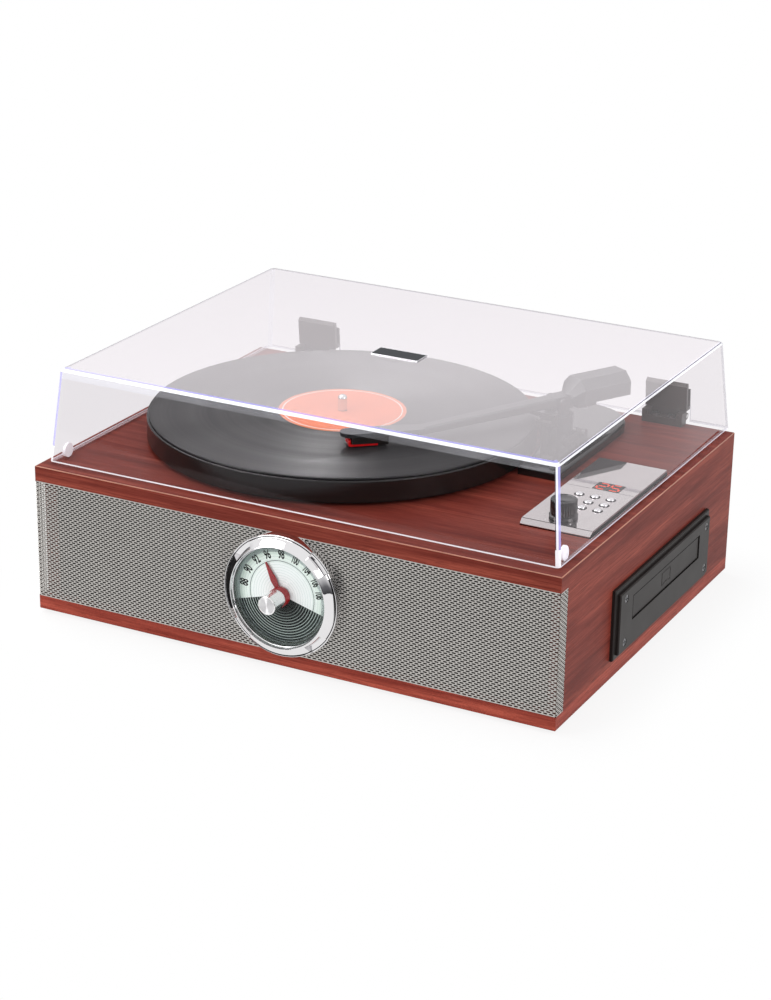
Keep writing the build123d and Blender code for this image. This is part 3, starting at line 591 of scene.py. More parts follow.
topAcrylic = acrylicMaterial("topAcrylic", (0.958, 0.948, 0.958), 0.030, 2.05, mirror=(1.0, 0.95, 0.985))
wallAcrylic = acrylicMaterial("wallAcrylic", (0.910, 0.894, 0.906), 0.015, 5.0, mirror=(1.0, 0.96, 0.99))
innerAcrylic = innerSkinMaterial("innerAcrylic", (0.995, 0.993, 0.996), 0.004)
lensAcrylic = acrylicMaterial("lensAcrylic", (0.995, 0.995, 0.995), 0.012, 5.0)
# the lens border's faint grey-green tint is painted shade on its bevel
lensBorder = paintedEdgeLightAndShadeMaterial("lensBorder", (0.12, 0.15, 0.12), 0.22, 0.0)
# painted light on the cover's edges: the white, violet, lilac, grey and faint strips are painted highlights
# with a painted glow, the dusk and smoke strips are painted shade
whiteEdgeHighlight = paintedEdgeLightAndShadeMaterial("whiteEdgeHighlight", (0.93, 0.93, 0.97), 0.84, 0.30)
violetEdgeHighlight = paintedEdgeLightAndShadeMaterial("violetEdgeHighlight", (0.42, 0.40, 0.82), 0.70, 0.30)
lilacEdgeHighlight = paintedEdgeLightAndShadeMaterial("lilacEdgeHighlight", (0.84, 0.82, 0.93), 0.72, 0.25)
duskEdgeShade = paintedEdgeLightAndShadeMaterial("duskEdgeShade", (0.10, 0.08, 0.14), 0.80, 0.0)
greyEdgeSheen = paintedEdgeLightAndShadeMaterial("greyEdgeSheen", (0.52, 0.50, 0.53), 0.42, 0.05)
faintEdgeGlow = paintedEdgeLightAndShadeMaterial("faintEdgeGlow", (0.75, 0.74, 0.78), 0.14, 0.1)
smokeEdgeShade = paintedEdgeLightAndShadeMaterial("smokeEdgeShade", (0.10, 0.09, 0.11), 0.70, 0.0)
# the bumpers' emission is a painted glow that keeps their white bright
frostedPaintedGlow = moulded("frostedBumper", (0.95, 0.95, 0.97), 0.35, grain=900, depth=0.02, spread=0.03,
                   Emission_Strength=0.22, Emission_Color=(0.95, 0.95, 1.0, 1))
badgeGrey = moulded("badgeGrey", (0.020, 0.022, 0.026), 0.45, grain=800, depth=0.02,
                    Specular_IOR_Level=0.15)
badgeRim = metal("badgeRim", (0.55, 0.55, 0.57), 0.2)
printedScale = dialMaterial(dialCentre)
dialInk = moulded("dialInk", (0.004, 0.006, 0.006), 0.6, grain=900, depth=0.01, Specular_IOR_Level=0.1)
pointerRed = moulded("pointerRed", (0.30, 0.008, 0.012), 0.3, grain=900, depth=0.02)
stylusRed = moulded("stylusRed", (0.70, 0.006, 0.008), 0.18, grain=900, depth=0.01)
spunAluminium = spunMetalMaterial("spunAluminium", (0.90, 0.89, 0.89), 0.22, dialCentre, "y", 0.7, True)
spunFace = spunMetalMaterial("spunFace", (0.84, 0.83, 0.84), 0.42, dialCentre, "y", 0.97, False)
screwSteel = metal("screwSteel", (0.22, 0.22, 0.23), 0.3)
circuitGreen = moulded("circuitGreen", (0.02, 0.10, 0.045), 0.5)
conePaper = moulded("conePaper", (0.02, 0.02, 0.021), 0.8, grain=800, depth=0.2)
beltRubber = moulded("beltRubber", (0.02, 0.02, 0.02), 0.6)
whitePrint = moulded("whitePrint", (0.80, 0.80, 0.80), 0.5, grain=900, depth=0.01, spread=0.02)
jackRed = moulded("jackRed", (0.55, 0.02, 0.02), 0.35)
jackWhite = moulded("jackWhite", (0.80, 0.80, 0.78), 0.35)
print("materials made")

nodeFinish = {
    "deck_board": mahogany, "bottom_board": brightenedMahogany, "left_side_board": mahogany,
    "right_side_board": mahogany, "rear_panel": blackBoard, "front_baffle": blackBoard,
    "speaker_grille": grilleSilver, "rubber_feet": softBlack, "speaker_chassis": satinBlack,
    "speaker_cones": conePaper, "dust_cover": wallAcrylic, "cover_badge": badgeGrey,
    "cover_bumpers": frostedPaintedGlow, "hinge_bases": hingeBrown, "hinge_clips": hingeBrown, "hinge_pins": steel,
    "platter": glossBlack, "platter_mat": softBlack, "spindle": steel, "vinyl_record": pressedVinyl,
    "main_bearing": brass, "drive_belt": beltRubber, "platter_motor": motorSteel, "motor_pulley": brass,
    "tonearm_plate": plateBlack, "tonearm_turret": armBlack, "tonearm_beam": armBlack,
    "tonearm_rear_block": armBlack, "cartridge": satinBlack, "stylus": stylusRed, "arm_rest": satinBlack,
    "cue_lift_bar": satinBlack, "cue_lever": satinBlack, "speed_switch": satinBlack,
    "control_panel": mirrorSilver, "display_window": smoked, "control_board": circuitGreen,
    "volume_knob": ribBlack, "dial_bezel": bezelChrome, "dial_plate": printedScale,
    "dial_lens": lensAcrylic, "dial_pointer": pointerRed, "tuning_knob": spunAluminium,
    "tuning_capacitor": motorSteel, "cassette_frame": satinBlack, "cassette_flap": satinBlack,
    "cassette_well": softBlack, "cassette_mechanism": motorSteel, "main_board": circuitGreen,
    "rear_sockets": satinBlack, "cross_screws": screwSteel,
}
for name, node in nodes.items():
    finish = nodeFinish.get(name, chrome)
    node.data.materials.clear()
    node.data.materials.append(finish)


# ---------- cabinet edges

def woodEdges():
    # only the outer arrises are rounded, and the deck's top arris is painted paler as a highlight; the foil
    # runs unbroken over the joints between boards
    deckLow, deckHigh = boxOf("deck_board")
    boardLow, boardHigh = boxOf("bottom_board")
    near = 0.2 * mm

    def onRim(level, low, high):
        def keep(a, b):
            def outside(v):
                side = (abs(v[:, 0] - low[0]) < near) | (abs(v[:, 0] - high[0]) < near)
                return side | (abs(v[:, 1] - low[1]) < near) | (abs(v[:, 1] - high[1]) < near)
            flat = (abs(a[:, 2] - level) < near) & (abs(b[:, 2] - level) < near)
            return flat & outside(a) & outside(b)
        return keep

    topRim = onRim(deckHigh[2], deckLow, deckHigh)
    bottomRim = onRim(boardLow[2], boardLow, boardHigh)
    top = softened("deck_board", mahogany, "cabinet", 0.6 * mm, 2, topRim)
    softened("bottom_board", brightenedMahogany, "cabinet", 0.7 * mm, 3, bottomRim)
    # the paler colour on the deck's rounded top arris is a painted highlight
    top.data.materials.append(woodEdgeHighlight)
    top.modifiers["soft edge"].material = 1


woodEdges()

# ---------- perforated grille

grilleSettings = {
    "pitchX": 4.5 * mm,       # slot to slot along a row
    "pitchZ": 1.65 * mm,      # row to row, every other row moved half a pitch
    "slotX": 3.65 * mm,
    "slotZ": 1.12 * mm,
    "slotFlat": 0.62,         # half length of a slot's straight sides, in half slots
    "wall": 0.8 * mm,
    "lip": 0.5 * mm,
    "dialHole": 42.5 * mm,    # radius left open behind the dial
    "frontDepth": 3 * mm,     # how far back the sheet's front face reaches
}


def slottedCells(columns, rows, width, height):
    # one cell: an eight-cornered slot inside a rectangle, with walls that go back; cells are copied in rows
    s = grilleSettings
    cellX, cellZ = width / columns, height / rows
    slotX, slotZ = s["slotX"] * cellX / s["pitchX"] / 2, s["slotZ"] * cellZ / s["pitchZ"] / 2
    hx, hz = cellX / 2, cellZ / 2
    outer = np.array([[hx, 0], [hx, hz], [0, hz], [-hx, hz], [-hx, 0], [-hx, -hz], [0, -hz], [hx, -hz]])
    k = s["slotFlat"]
    inner = np.array([[slotX, 0], [slotX * k, slotZ], [0, slotZ], [-slotX * k, slotZ], [-slotX, 0],
                      [-slotX * k, -slotZ], [0, -slotZ], [slotX * k, -slotZ]])
    ring = np.concatenate([outer, inner, inner])
    depth = np.concatenate([np.zeros(16), np.full(8, s["wall"])])
    i = np.arange(8)
    j = (i + 1) % 8
    face = np.stack([i, i + 8, j + 8, j], -1)
    wall = np.stack([i + 8, i + 16, j + 16, j + 8], -1)
    quads = np.concatenate([face, wall])
    row, column = np.meshgrid(np.arange(rows), np.arange(columns), indexing="ij")
    u = (column + 0.5) * cellX + np.where(row % 2 == 1, cellX / 2, 0)
    v = (row + 0.5) * cellZ
    u, v = u.ravel()[:, None] + ring[:, 0], v.ravel()[:, None] + ring[:, 1]
    w = np.broadcast_to(depth, u.shape)
    cells = quads[None] + 24 * np.arange(rows * columns)[:, None, None]
    return u.ravel(), v.ravel(), w.ravel(), cells.reshape(-1, 4)


def speakerGrille():
    # a run of perforated sheet along the front that turns back round both corners
    low, high = boxOf("speaker_grille")
    s = grilleSettings
    lip = s["lip"]
    wrap = high[1] - low[1]
    run = (high[0] - low[0]) + 2 * wrap
    columns, rows = round(run / s["pitchX"]), round((high[2] - low[2] - 2 * lip) / s["pitchZ"])
    u, v, w, quads = slottedCells(columns, rows, run, high[2] - low[2] - 2 * lip)
    u = np.clip(u, 0, run)
    x = np.where(u < wrap, low[0] + w, np.where(u > run - wrap, high[0] - w, low[0] + u - wrap))
    y = np.where(u < wrap, high[1] - u, np.where(u > run - wrap, low[1] + (u - (run - wrap)), low[1] + w))
    z = low[2] + lip + v
    points = np.stack([x, y, z], -1)
    corners = points[quads]
    flatArea = np.linalg.norm(np.cross(corners[:, 2] - corners[:, 0], corners[:, 3] - corners[:, 1]),
                              axis=1)
    reach = np.hypot(corners[..., 0] - dialCentre[0], corners[..., 2] - dialCentre[2])
    behind = corners[..., 1].mean(1) > low[1] + s["frontDepth"]
    keep = (flatArea > 1e-12) & ((reach.min(1) > s["dialHole"]) | behind)
    quads = quads[keep]
    used, inverse = np.unique(quads, return_inverse=True)
    addPiece("speakerMesh", points[used], inverse.reshape(-1, 4), grilleSilver, "cabinet",
             ("speaker_grille",), smooth=0)
    for name, z0 in (("grilleTopLip", high[2] - lip), ("grilleBottomLip", low[2])):
        lows = [(low[0], low[1], z0), (low[0], low[1], z0), (high[0] - s["wall"], low[1], z0)]
        highs = [(high[0], low[1] + s["wall"], z0 + lip), (low[0] + s["wall"], high[1], z0 + lip),
                 (high[0], high[1], z0 + lip)]
        boxes(name, lows, highs, grilleSilver, "cabinet")
    print("grille", len(quads) * 2, "triangles")


speakerGrille()

# ---------- dust cover

coverSettings = {
    "corner": 3.0 * mm,      # upright corner radius
    "brow": 1.9 * mm,        # radius over the top edge
    "wall": 3.0 * mm,
    "drawIn": 7 * mm,        # how far the top is smaller than the bottom, on each side
    "cornerSteps": 6,
    "browSteps": 4,
    "topBand": 3.4 * mm,     # strip of the top along its edge, painted as a violet highlight at the front
    "rimBand": 1.0 * mm,     # strip along the bottom edge, painted as a highlight
    "mist": 5 * mm,          # painted pale glow under the front edge
    "notchMiddle": 159 * mm,
    "notchHalf": 19 * mm,
    "notchTop": 134 * mm,
}


def coverRing(halfX, halfY, radius, steps, centre, stops):
    # a rectangle with round corners, walked once round from the right side, with stops along the rear edge
    halfX, halfY, radius = (np.asarray(v, float)[:, None] for v in (halfX, halfY, radius))
    quarter = np.linspace(0, math.pi / 2, steps + 1)
    signs = ((1, 1, 0), (-1, 1, 1), (-1, -1, 2), (1, -1, 3))
    xs, ys = [], []
    for sx, sy, turn in signs:
        angle = quarter + turn * math.pi / 2
        xs.append(sx * (halfX - radius) + radius * np.cos(angle))
        ys.append(sy * (halfY - radius) + radius * np.sin(angle))
        if turn == 0:
            xs.append(np.broadcast_to(np.asarray(stops, float) - centre[0], (len(halfX), len(stops))))
            ys.append(np.broadcast_to(halfY, (len(halfX), len(stops))))
    return np.concatenate(xs, 1) + centre[0], np.concatenate(ys, 1) + centre[1]


def edgeFinish(row, column, per, stopCount, wallRings, rings):
    # columns run from the right rear corner over the rear, left and front to the right side
    steps = per - 1
    rearEnd = per + stopCount
    leftRear, leftFront, rightFront = rearEnd, rearEnd + per, rearEnd + 2 * per
    half = steps // 2
    corner = {"rearRight": column < steps, "rearLeft": (column >= leftRear) & (column < leftRear + steps),
              "frontLeft": (column >= leftFront) & (column < leftFront + steps),
              "frontRight": (column >= rightFront) & (column < rightFront + steps)}
    front = column == leftFront + steps
    left = column == leftRear + steps
    right = column == rightFront + steps
    rear = (column >= steps) & (column < leftRear)
    rim, brow, band = row == 0, (row >= wallRings - 1) & (row < rings - 2), row == rings - 2
    middleRow = wallRings - 1 + (rings - 2 - (wallRings - 1)) // 2
    upper = row > middleRow
    foot = row == 1
    # the indices pick the cover's finishes: 0 the clear wall, 1 the clear top, 4 the inner skin; 2 white, 3
    # violet, 5 grey, 6 lilac and 8 faint are painted highlights and glows, 7 dusk and 9 smoke painted shade
    index = np.zeros(len(row), int)
    index[corner["frontLeft"]] = 3
    index[corner["frontRight"] & (column < rightFront + half)] = 2
    index[corner["frontRight"] & (column < rightFront + 1)] = 9
    index[corner["frontRight"] & (column >= rightFront + half)] = 3
    index[corner["rearRight"]] = 5
    index[corner["rearLeft"]] = 8
    index[front & (row == wallRings - 2)] = 8
    frontAll = front | corner["frontLeft"] | corner["frontRight"]
    index[rim & (frontAll | left)] = 2
    index[foot & (corner["frontLeft"] | corner["frontRight"])] = 2
    index[rim & right] = 6
    index[rim & (rear | corner["rearRight"])] = 5
    index[brow & frontAll] = 2
    index[band & frontAll] = 3
    index[band & ~frontAll] = 1
    index[brow & right] = 2
    index[brow & right & upper] = 6
    index[brow & right & (row == middleRow)] = 7
    index[brow & (left | rear | corner["rearRight"] | corner["rearLeft"])] = 5
    return index


def dustCover():
    # outer and inner shells share their columns, so that the hinge notches close with plain quads
    s = coverSettings
    low, high = boxOf("dust_cover")
    centre = (low + high) / 2
    shift = deckShift[0]
    baseX, baseY = (high[0] - low[0]) / 2, (high[1] - low[1]) / 2
    height = high[2] - low[2]
    stops = [shift + side * s["notchMiddle"] + end * s["notchHalf"] for side in (1, -1) for end in (1, -1)]
    lowLevels = [low[2], low[2] + s["rimBand"], s["notchTop"]]

    def shell(inset, top, steps, band):
        brow = max(s["brow"] - inset, 0.5 * mm)
        upperLevels = np.linspace(s["notchTop"], top - brow - s["mist"], 3)[1:]
        wallZ = np.concatenate([lowLevels, upperLevels, [top - brow]])
        turn = np.linspace(0, math.pi / 2, steps + 1)[1:]
        z = np.concatenate([wallZ, top - brow + brow * np.sin(turn), [top]])
        drawn = s["drawIn"] * (z - low[2]) / height + inset
        drawn[len(wallZ):-1] += brow * (1 - np.cos(turn))
        drawn[-1] += brow + band
        radius = np.full(len(z), max(s["corner"] - inset * 0.6, 1.0 * mm))
        x, y = coverRing(baseX - drawn, baseY - drawn, radius, s["cornerSteps"], centre, stops)
        return np.stack([x, y, np.broadcast_to(z[:, None], x.shape)], -1), len(wallZ)

    outer, wallRings = shell(0, high[2], s["browSteps"], s["topBand"])
    inner = shell(s["wall"], high[2] - s["wall"], 1, 0.3 * mm)[0]
    rings, around = outer.shape[:2]
    innerRings = inner.shape[0]
    verts = np.concatenate([outer.reshape(-1, 3), inner.reshape(-1, 3)])
    offset = rings * around
    per = s["cornerSteps"] + 1
    notchColumns = (per, per + 2)
    column = np.tile(np.arange(around), rings - 1)
    row = np.repeat(np.arange(rings - 1), around)
    outQuads = gridQuads(rings, around, wrapColumns=True)[:, ::-1]
    openAt = np.isin(column, notchColumns) & (row < 2)
    index = edgeFinish(row, column, per, len(stops), wallRings, rings)
    outIndex = index[~openAt]
    innerColumn = np.tile(np.arange(around), innerRings - 1)
    innerRow = np.repeat(np.arange(innerRings - 1), around)
    innerOpen = np.isin(innerColumn, notchColumns) & (innerRow < 2)
    inQuads = gridQuads(innerRings, around, wrapColumns=True, start=offset)[~innerOpen]
    a = np.setdiff1d(np.arange(around), notchColumns)
    rim = np.stack([a, (a + 1) % around, (a + 1) % around + offset, a + offset], -1)
    leftColumn = 2 * per + len(stops) + s["cornerSteps"]
    rimIndex = np.where(a == leftColumn, 8, 5)
    jambs = []
    for first in notchColumns:
        for r in (0, 1):
            p, q = r * around + first, (r + 1) * around + first
            jambs.append([p, p + offset, q + offset, q])
            p, q = p + 1, q + 1
            jambs.append([p, q, q + offset, p + offset])
        top = 2 * around + first
        jambs.append([top, top + offset, top + 1 + offset, top + 1])
    topOuter = list(range((rings - 1) * around, rings * around))
    topInner = list(range(offset + (innerRings - 1) * around, offset + innerRings * around))[::-1]
    faces = [list(q) for q in outQuads[~openAt]] + [list(q) for q in inQuads] + [list(q) for q in rim]
    faces += jambs + [topOuter, topInner]
    indices = np.concatenate([outIndex, np.full(len(inQuads), 4), rimIndex, np.full(len(jambs), 5), [1],
                              [4]])
    # besides the clear sheets and the inner skin, these finishes are the painted highlights, glows and shades
    # of the edges
    finishes = [wallAcrylic, topAcrylic, whiteEdgeHighlight, violetEdgeHighlight, innerAcrylic, greyEdgeSheen, lilacEdgeHighlight, duskEdgeShade,
                faintEdgeGlow, smokeEdgeShade]
    cover = addPiece("clearCover", verts, faces, finishes, "lid", ("dust_cover",),
                     smooth=50,
                     indices=indices)
    flat = np.ones(len(cover.data.polygons), bool)
    flat[-2:] = False
    cover.data.polygons.foreach_set("use_smooth", flat)


badgeSettings = {"line": 0.55 * mm, "step": 0.15 * mm}


def coverBadge():
    # a bare dark plate inside a fine bright frame
    low, high = boxOf("cover_badge")
    line, step = badgeSettings["line"], badgeSettings["step"]
    boxes("badgePlate", [low + (line, line, 0)], [high - (line, line, step)], badgeGrey, "lid",
          bevel=0.1 * mm, replaces=("cover_badge",))
    lows = [low, (low[0], high[1] - line, low[2]), (low[0], low[1] + line, low[2]),
            (high[0] - line, low[1] + line, low[2])]
    highs = [(high[0], low[1] + line, high[2]), high, (low[0] + line, high[1] - line, high[2]),
             (high[0], high[1] - line, high[2])]
    boxes("badgeFrame", lows, highs, badgeRim, "lid", bevel=0.1 * mm)


dustCover()
coverBadge()
print("dust cover made")

# ---------- record and label

discSettings = {
    "bead": 2.2 * mm,        # raised outer edge
    "runOut": 59 * mm,
    "labelEdge": 50 * mm,
    "labelRing": (46.2 * mm, 47.1 * mm),
    "hole": 3.66 * mm,
}


def closingWall(rows, turns):
    # quads from a turned profile's last row back to its first
    k = np.arange(turns)
    last = (rows - 1) * turns
    return np.stack([last + k, k, (k + 1) % turns, last + (k + 1) % turns], -1)


def ringPiece(name, inner, outer, z0, z1, centre, material, body, turns=120):
    # a flat washer: four corners of its section carried round
    profile = [(inner, z0), (outer, z0), (outer, z1), (inner, z1)]
    points, quads = latheRings(profile, turns, centre)
    quads = np.concatenate([quads, closingWall(len(profile), turns)])
    piece = addPiece(name, points, quads, material, body)
    turnOutwards(piece)
    return piece


def playedRecord():
    s = discSettings
    low, high = boxOf("vinyl_record")
    centre = ((low[0] + high[0]) / 2, (low[1] + high[1]) / 2, 0)
    edge = (high[0] - low[0]) / 2
    bottom, top = low[2], high[2]
    groove = top - 0.18 * mm
    label = top - 0.30 * mm
    profile = [(s["hole"], bottom), (edge - 0.6 * mm, bottom), (edge, (bottom + top) / 2),
               (edge - 0.25 * mm, top - 0.2 * mm),
               (edge - 0.8 * mm, top), (edge - s["bead"], top), (edge - s["bead"] - 1.2 * mm, groove),
               (s["runOut"] + 1 * mm, groove), (s["runOut"], groove - 0.05 * mm),
               (s["labelEdge"] + 1.6 * mm, groove),
               (s["labelEdge"] + 1.0 * mm, groove + 0.06 * mm), (s["labelEdge"] + 0.3 * mm, label),
               (s["hole"], label)]
    turns = 240
    points, quads = latheRings(profile, turns, centre)
    quads = np.concatenate([quads, closingWall(len(profile), turns)])
    disc = addPiece("groovedRecord", points, quads, pressedVinyl, "turntable", ("vinyl_record",),
                    smooth=20)
    turnOutwards(disc)
    inner, outer = s["labelRing"]
    shown = label + 0.08 * mm
    ringPiece("recordLabel", s["hole"], inner, label, shown, centre, labelOrange, "turntable")
    ringPiece("labelWhiteRing", inner, outer, label, shown, centre, labelPale, "turntable")
    ringPiece("labelBorder", outer, s["labelEdge"], label, shown, centre, labelRim, "turntable")


playedRecord()

# ---------- tuning dial

bezelSettings = {            # radius and height proud of the grille, in millimetres
    "profile": ((47.2, 0.0), (47.2, 6.9), (47.05, 7.3), (46.7, 7.5), (46.35, 7.4), (46.2, 6.6),
                (45.85, 6.6),
                (45.7, 7.6), (45.3, 8.1), (43.9, 9.1), (42.2, 10.2), (40.6, 11.2), (39.9, 11.7),
                (39.5, 11.9),
                (39.1, 11.8), (38.9, 11.3), (38.7, 9.7), (38.5, 9.4), (38.2, 9.2), (38.2, 0.0)),
    "shadedGrooveRows": (4, 5, 6),      # rows of the profile that form the groove behind the outer rim, painted black as shade
    "notchLevel": 6.0,
    "notchInner": 41.0,
    "notchHalfAngle": 11.5,
    "turns": 240,
}


def dialFace(points):
    # (across, up, proud) on the dial to the room
    frontY = boxOf("speaker_grille")[0][1]
    return np.stack([dialCentre[0] + points[:, 0], frontY - points[:, 2], dialCentre[2] + points[:, 1]], -1)


def roundDial(r, h, angle):
    # turned points on the dial, their angle measured from straight up
    return dialFace(np.stack([(r * np.sin(angle)).ravel(), (r * np.cos(angle)).ravel(), h.ravel()], -1))


def dialBezel():
    # the profile turned round the dial's axis; within the notches nothing stands above the lower flange
    s = bezelSettings
    profile = np.array(s["profile"]) * mm
    half = math.radians(s["notchHalfAngle"])
    edges = [math.radians(45 + 90 * i) + side * half + tiny for i in range(4) for side in (-1, 1)
             for tiny in (-0.0015, 0.0015)]
    angle = np.sort(np.concatenate([equalTurns(s["turns"]), edges]))
    fromDiagonal = np.abs(angle % (math.pi / 2) - math.pi / 4)
    notched = fromDiagonal < half
    r, h = turnedGrid(profile, angle)
    cut = notched[None] & (r > s["notchInner"] * mm) & (h > s["notchLevel"] * mm)
    h = np.where(cut, s["notchLevel"] * mm, h)
    points = roundDial(r, h, angle)
    quads = gridQuads(len(profile), len(angle), wrapColumns=True)
    back = closingWall(len(profile), len(angle))
    row = np.repeat(np.arange(len(profile) - 1), len(angle))
    # the groove's faces take the near-black, a painted shade
    gap = np.isin(row, s["shadedGrooveRows"]).astype(int)
    indices = np.concatenate([gap, np.zeros(len(back), int)])
    bezel = addPiece("chromeBezel", points, np.concatenate([quads, back]), [bezelChrome, gapBlack],
                     "cabinet",
                     ("dial_bezel",), smooth=40, indices=indices)
    turnOutwards(bezel)


def dialNumbers():
    s = dialSettings
    for angle, words in s["numbers"]:
        turn = math.radians(angle)

        def place(verts, turn=turn):
            out = verts[:, 1] + s["numberRadius"]
            across = verts[:, 0] * math.cos(turn) + out * math.sin(turn)
            up = -verts[:, 0] * math.sin(turn) + out * math.cos(turn)
            return dialFace(np.stack([across, up, verts[:, 2] + s["plateProud"] + 0.06 * mm], -1))
        width = s["twoDigitWidth"] if len(words) == 2 else s["threeDigitWidth"]
        textPiece("dialNumber" + words, words, s["numberSize"], dialInk, "cabinet", place,
                  stretch=width,
                  bold=s["inkSpread"])


knobSettings = {             # radius and height proud of the grille, in millimetres
    "profile": ((0.0, 11.3), (6.6, 11.3), (6.9, 11.5), (6.9, 12.1), (7.2, 12.4), (7.2, 26.0),
                (7.05, 26.6), (6.6, 26.95), (6.2, 27.0), (6.0, 26.8), (0.0, 26.8)),
    "facets": 9,
    "turns": 140,
}


def tuningKnob():
    # a turned barrel with shallow flats along it
    s = knobSettings
    profile = np.array(s["profile"]) * mm
    angle = equalTurns(s["turns"])
    r, h = turnedGrid(profile, angle)
    step = 2 * math.pi / s["facets"]
    flat = math.cos(step / 2) / np.cos((angle + step / 2) % step - step / 2)
    barrel = (h > 12.2 * mm) & (h < 26.3 * mm) & (r > 6.5 * mm)
    r = np.where(barrel, r * flat, r)
    points = roundDial(r, h, angle)
    quads = gridQuads(len(profile), len(angle), wrapColumns=True)
    endFace = np.repeat(np.arange(len(profile) - 1) == len(profile) - 2, len(angle)).astype(int)
    knob = addPiece("spunKnob", points, quads, [spunAluminium, spunFace], "tuner",
                    ("tuning_knob",), smooth=14, indices=endFace)
    turnOutwards(knob)


lensSettings = {             # radius and height proud of the grille, in millimetres
    "profile": ((38.15, 9.35), (34.9, 8.6), (34.5, 7.6), (34.5, 6.2), (38.15, 6.2)),
    "turns": 180,
}


def lensRim():
    # the thick bevelled border of the lens: its profile turned round the dial's axis, with a faint grey-green
    # tint that is painted shade
    profile = np.array(lensSettings["profile"]) * mm
    angle = equalTurns(lensSettings["turns"])
    points = roundDial(*turnedGrid(profile, angle), angle)
    quads = gridQuads(len(profile), len(angle), wrapRows=True, wrapColumns=True)
    rim = addPiece("lensRim", points, quads, lensBorder, "cabinet", smooth=25)
    turnOutwards(rim)


dialBezel()
lensRim()
dialNumbers()
tuningKnob()
print("dial made")

# ---------- control panel

panelSettings = {
    "digits": "25",
    "digitWide": 7.2 * mm,
    "digitTall": 11.4 * mm,
    "segment": 1.5 * mm,
    "digitPitch": 1.42,         # in digit widths
    "printThick": 0.08 * mm,
    "chamfer": 3.4 * mm,
    "dashHalf": 2.3 * mm,       # printed dash behind each button
    "dashBehind": 4.6 * mm,
    "dashTall": 0.7 * mm,
    "tickCount": 9,             # printed square dots round the volume knob
    "tickRadius": 14 * mm,
    "tickHalf": 0.42 * mm,
    "tickSpan": 270,            # degrees
    "seamWide": 0.3 * mm,
    "seamProud": 0.03 * mm,
    "shadowWide": 0.45 * mm,
}


def sevenSegments(word, low, high, level):
    # bars of lit segments, read from the front of the cabinet
    s = panelSettings
    lit = {"2": "abged", "5": "afgcd"}
    w, t, b = s["digitWide"] / 2, s["digitTall"] / 2, s["segment"] / 2
    bars = {"a": (0, t, 1), "g": (0, 0, 1), "d": (0, -t, 1), "f": (-w, t / 2, 0), "b": (w, t / 2, 0),
            "e": (-w, -t / 2, 0), "c": (w, -t / 2, 0)}
    lows, highs = [], []
    middleX, middleY = (low[0] + high[0]) / 2, (low[1] + high[1]) / 2
    for i, letter in enumerate(word):
        cx = middleX + (i - (len(word) - 1) / 2) * s["digitWide"] * s["digitPitch"]
        for name in lit[letter]:
            x, y, lying = bars[name]
            halfX, halfY = (w - b * 1.2, b) if lying else (b, t / 2 - b * 1.2)
            lows.append((cx + x - halfX, middleY + y - halfY, level))
            highs.append((cx + x + halfX, middleY + y + halfY, level + s["printThick"]))
    return lows, highs


def panelDetails():
    s = panelSettings
    low, high = boxOf("display_window")
    lows, highs = sevenSegments(s["digits"], low, high, high[2])
    boxes("displayDigits", lows, highs, digitRed, "cabinet")
    panelLow, panelHigh = boxOf("control_panel")
    top = panelHigh[2]
    names = [n for n in nodes if n.endswith("_button")]
    lows, highs = [], []
    for name in names:
        x, y = middleOf(name)[:2]
        dash = y + s["dashBehind"]
        lows.append((x - s["dashHalf"], dash, top))
        highs.append((x + s["dashHalf"], dash + s["dashTall"], top + s["printThick"]))
    knob = middleOf("volume_knob")
    size = s["tickHalf"]
    for i in range(s["tickCount"]):
        turn = math.radians(s["tickSpan"] * (i / (s["tickCount"] - 1) - 0.5))
        x, y = knob[0] + s["tickRadius"] * math.sin(turn), knob[1] + s["tickRadius"] * math.cos(turn)
        lows.append((x - size, y - size, top))
        highs.append((x + size, y + size, top + s["printThick"]))
    boxes("panelPrint", lows, highs, whitePrint, "cabinet")
    seamY = low[1] - 0.4 * mm
    seamBack, seamTop = seamY + s["seamWide"], top + s["seamProud"]
    boxes("panelSeam", [(panelLow[0] + 1 * mm, seamY, top), (high[0] + 0.6 * mm, seamY, top)],
          [(low[0] - 0.6 * mm, seamBack, seamTop), (panelHigh[0] - 1 * mm, seamBack, seamTop)],
          softBlack, "cabinet")
    # shadow lines: where the front chamfer begins, and along the foot of the panel's front and right sides
    t, floorZ = s["shadowWide"], panelLow[2]
    chamferY = panelLow[1] + s["chamfer"]
    boxes("panelLines", [(panelLow[0] + 0.3 * mm, chamferY - t / 2, top - 0.05 * mm),
                         (panelLow[0], panelLow[1] - t, floorZ), (panelHigh[0], panelLow[1] - t, floorZ)],
          [(panelHigh[0] - 0.3 * mm, chamferY + t / 2, seamTop),
           (panelHigh[0], panelLow[1], floorZ + 0.5 * mm),
           (panelHigh[0] + t, panelHigh[1], floorZ + 2.6 * mm)],
          gapBlack, "cabinet")
    for name in names:
        x, y = middleOf(name)[:2]
        ringPiece("collar_" + name, 3.1 * mm, 4.0 * mm, top, top + 0.06 * mm, (x, y, 0), softBlack,
                  "cabinet",
                  turns=32)


panelDetails()

volumeSettings = {
    "ribs": 30,
    "ribDepth": 0.85 * mm,
    "stepsPerRib": 8,
    "profile": ((10.5, 0.0), (10.5, 2.2), (10.1, 2.5), (9.8, 2.6), (9.8, 12.9), (9.6, 13.5), (9.1, 13.9),
                (8.6, 14.0),
                (8.2, 13.9), (7.9, 13.5), (7.6, 13.3), (0.3, 13.3)),   # radius, height over the panel
}


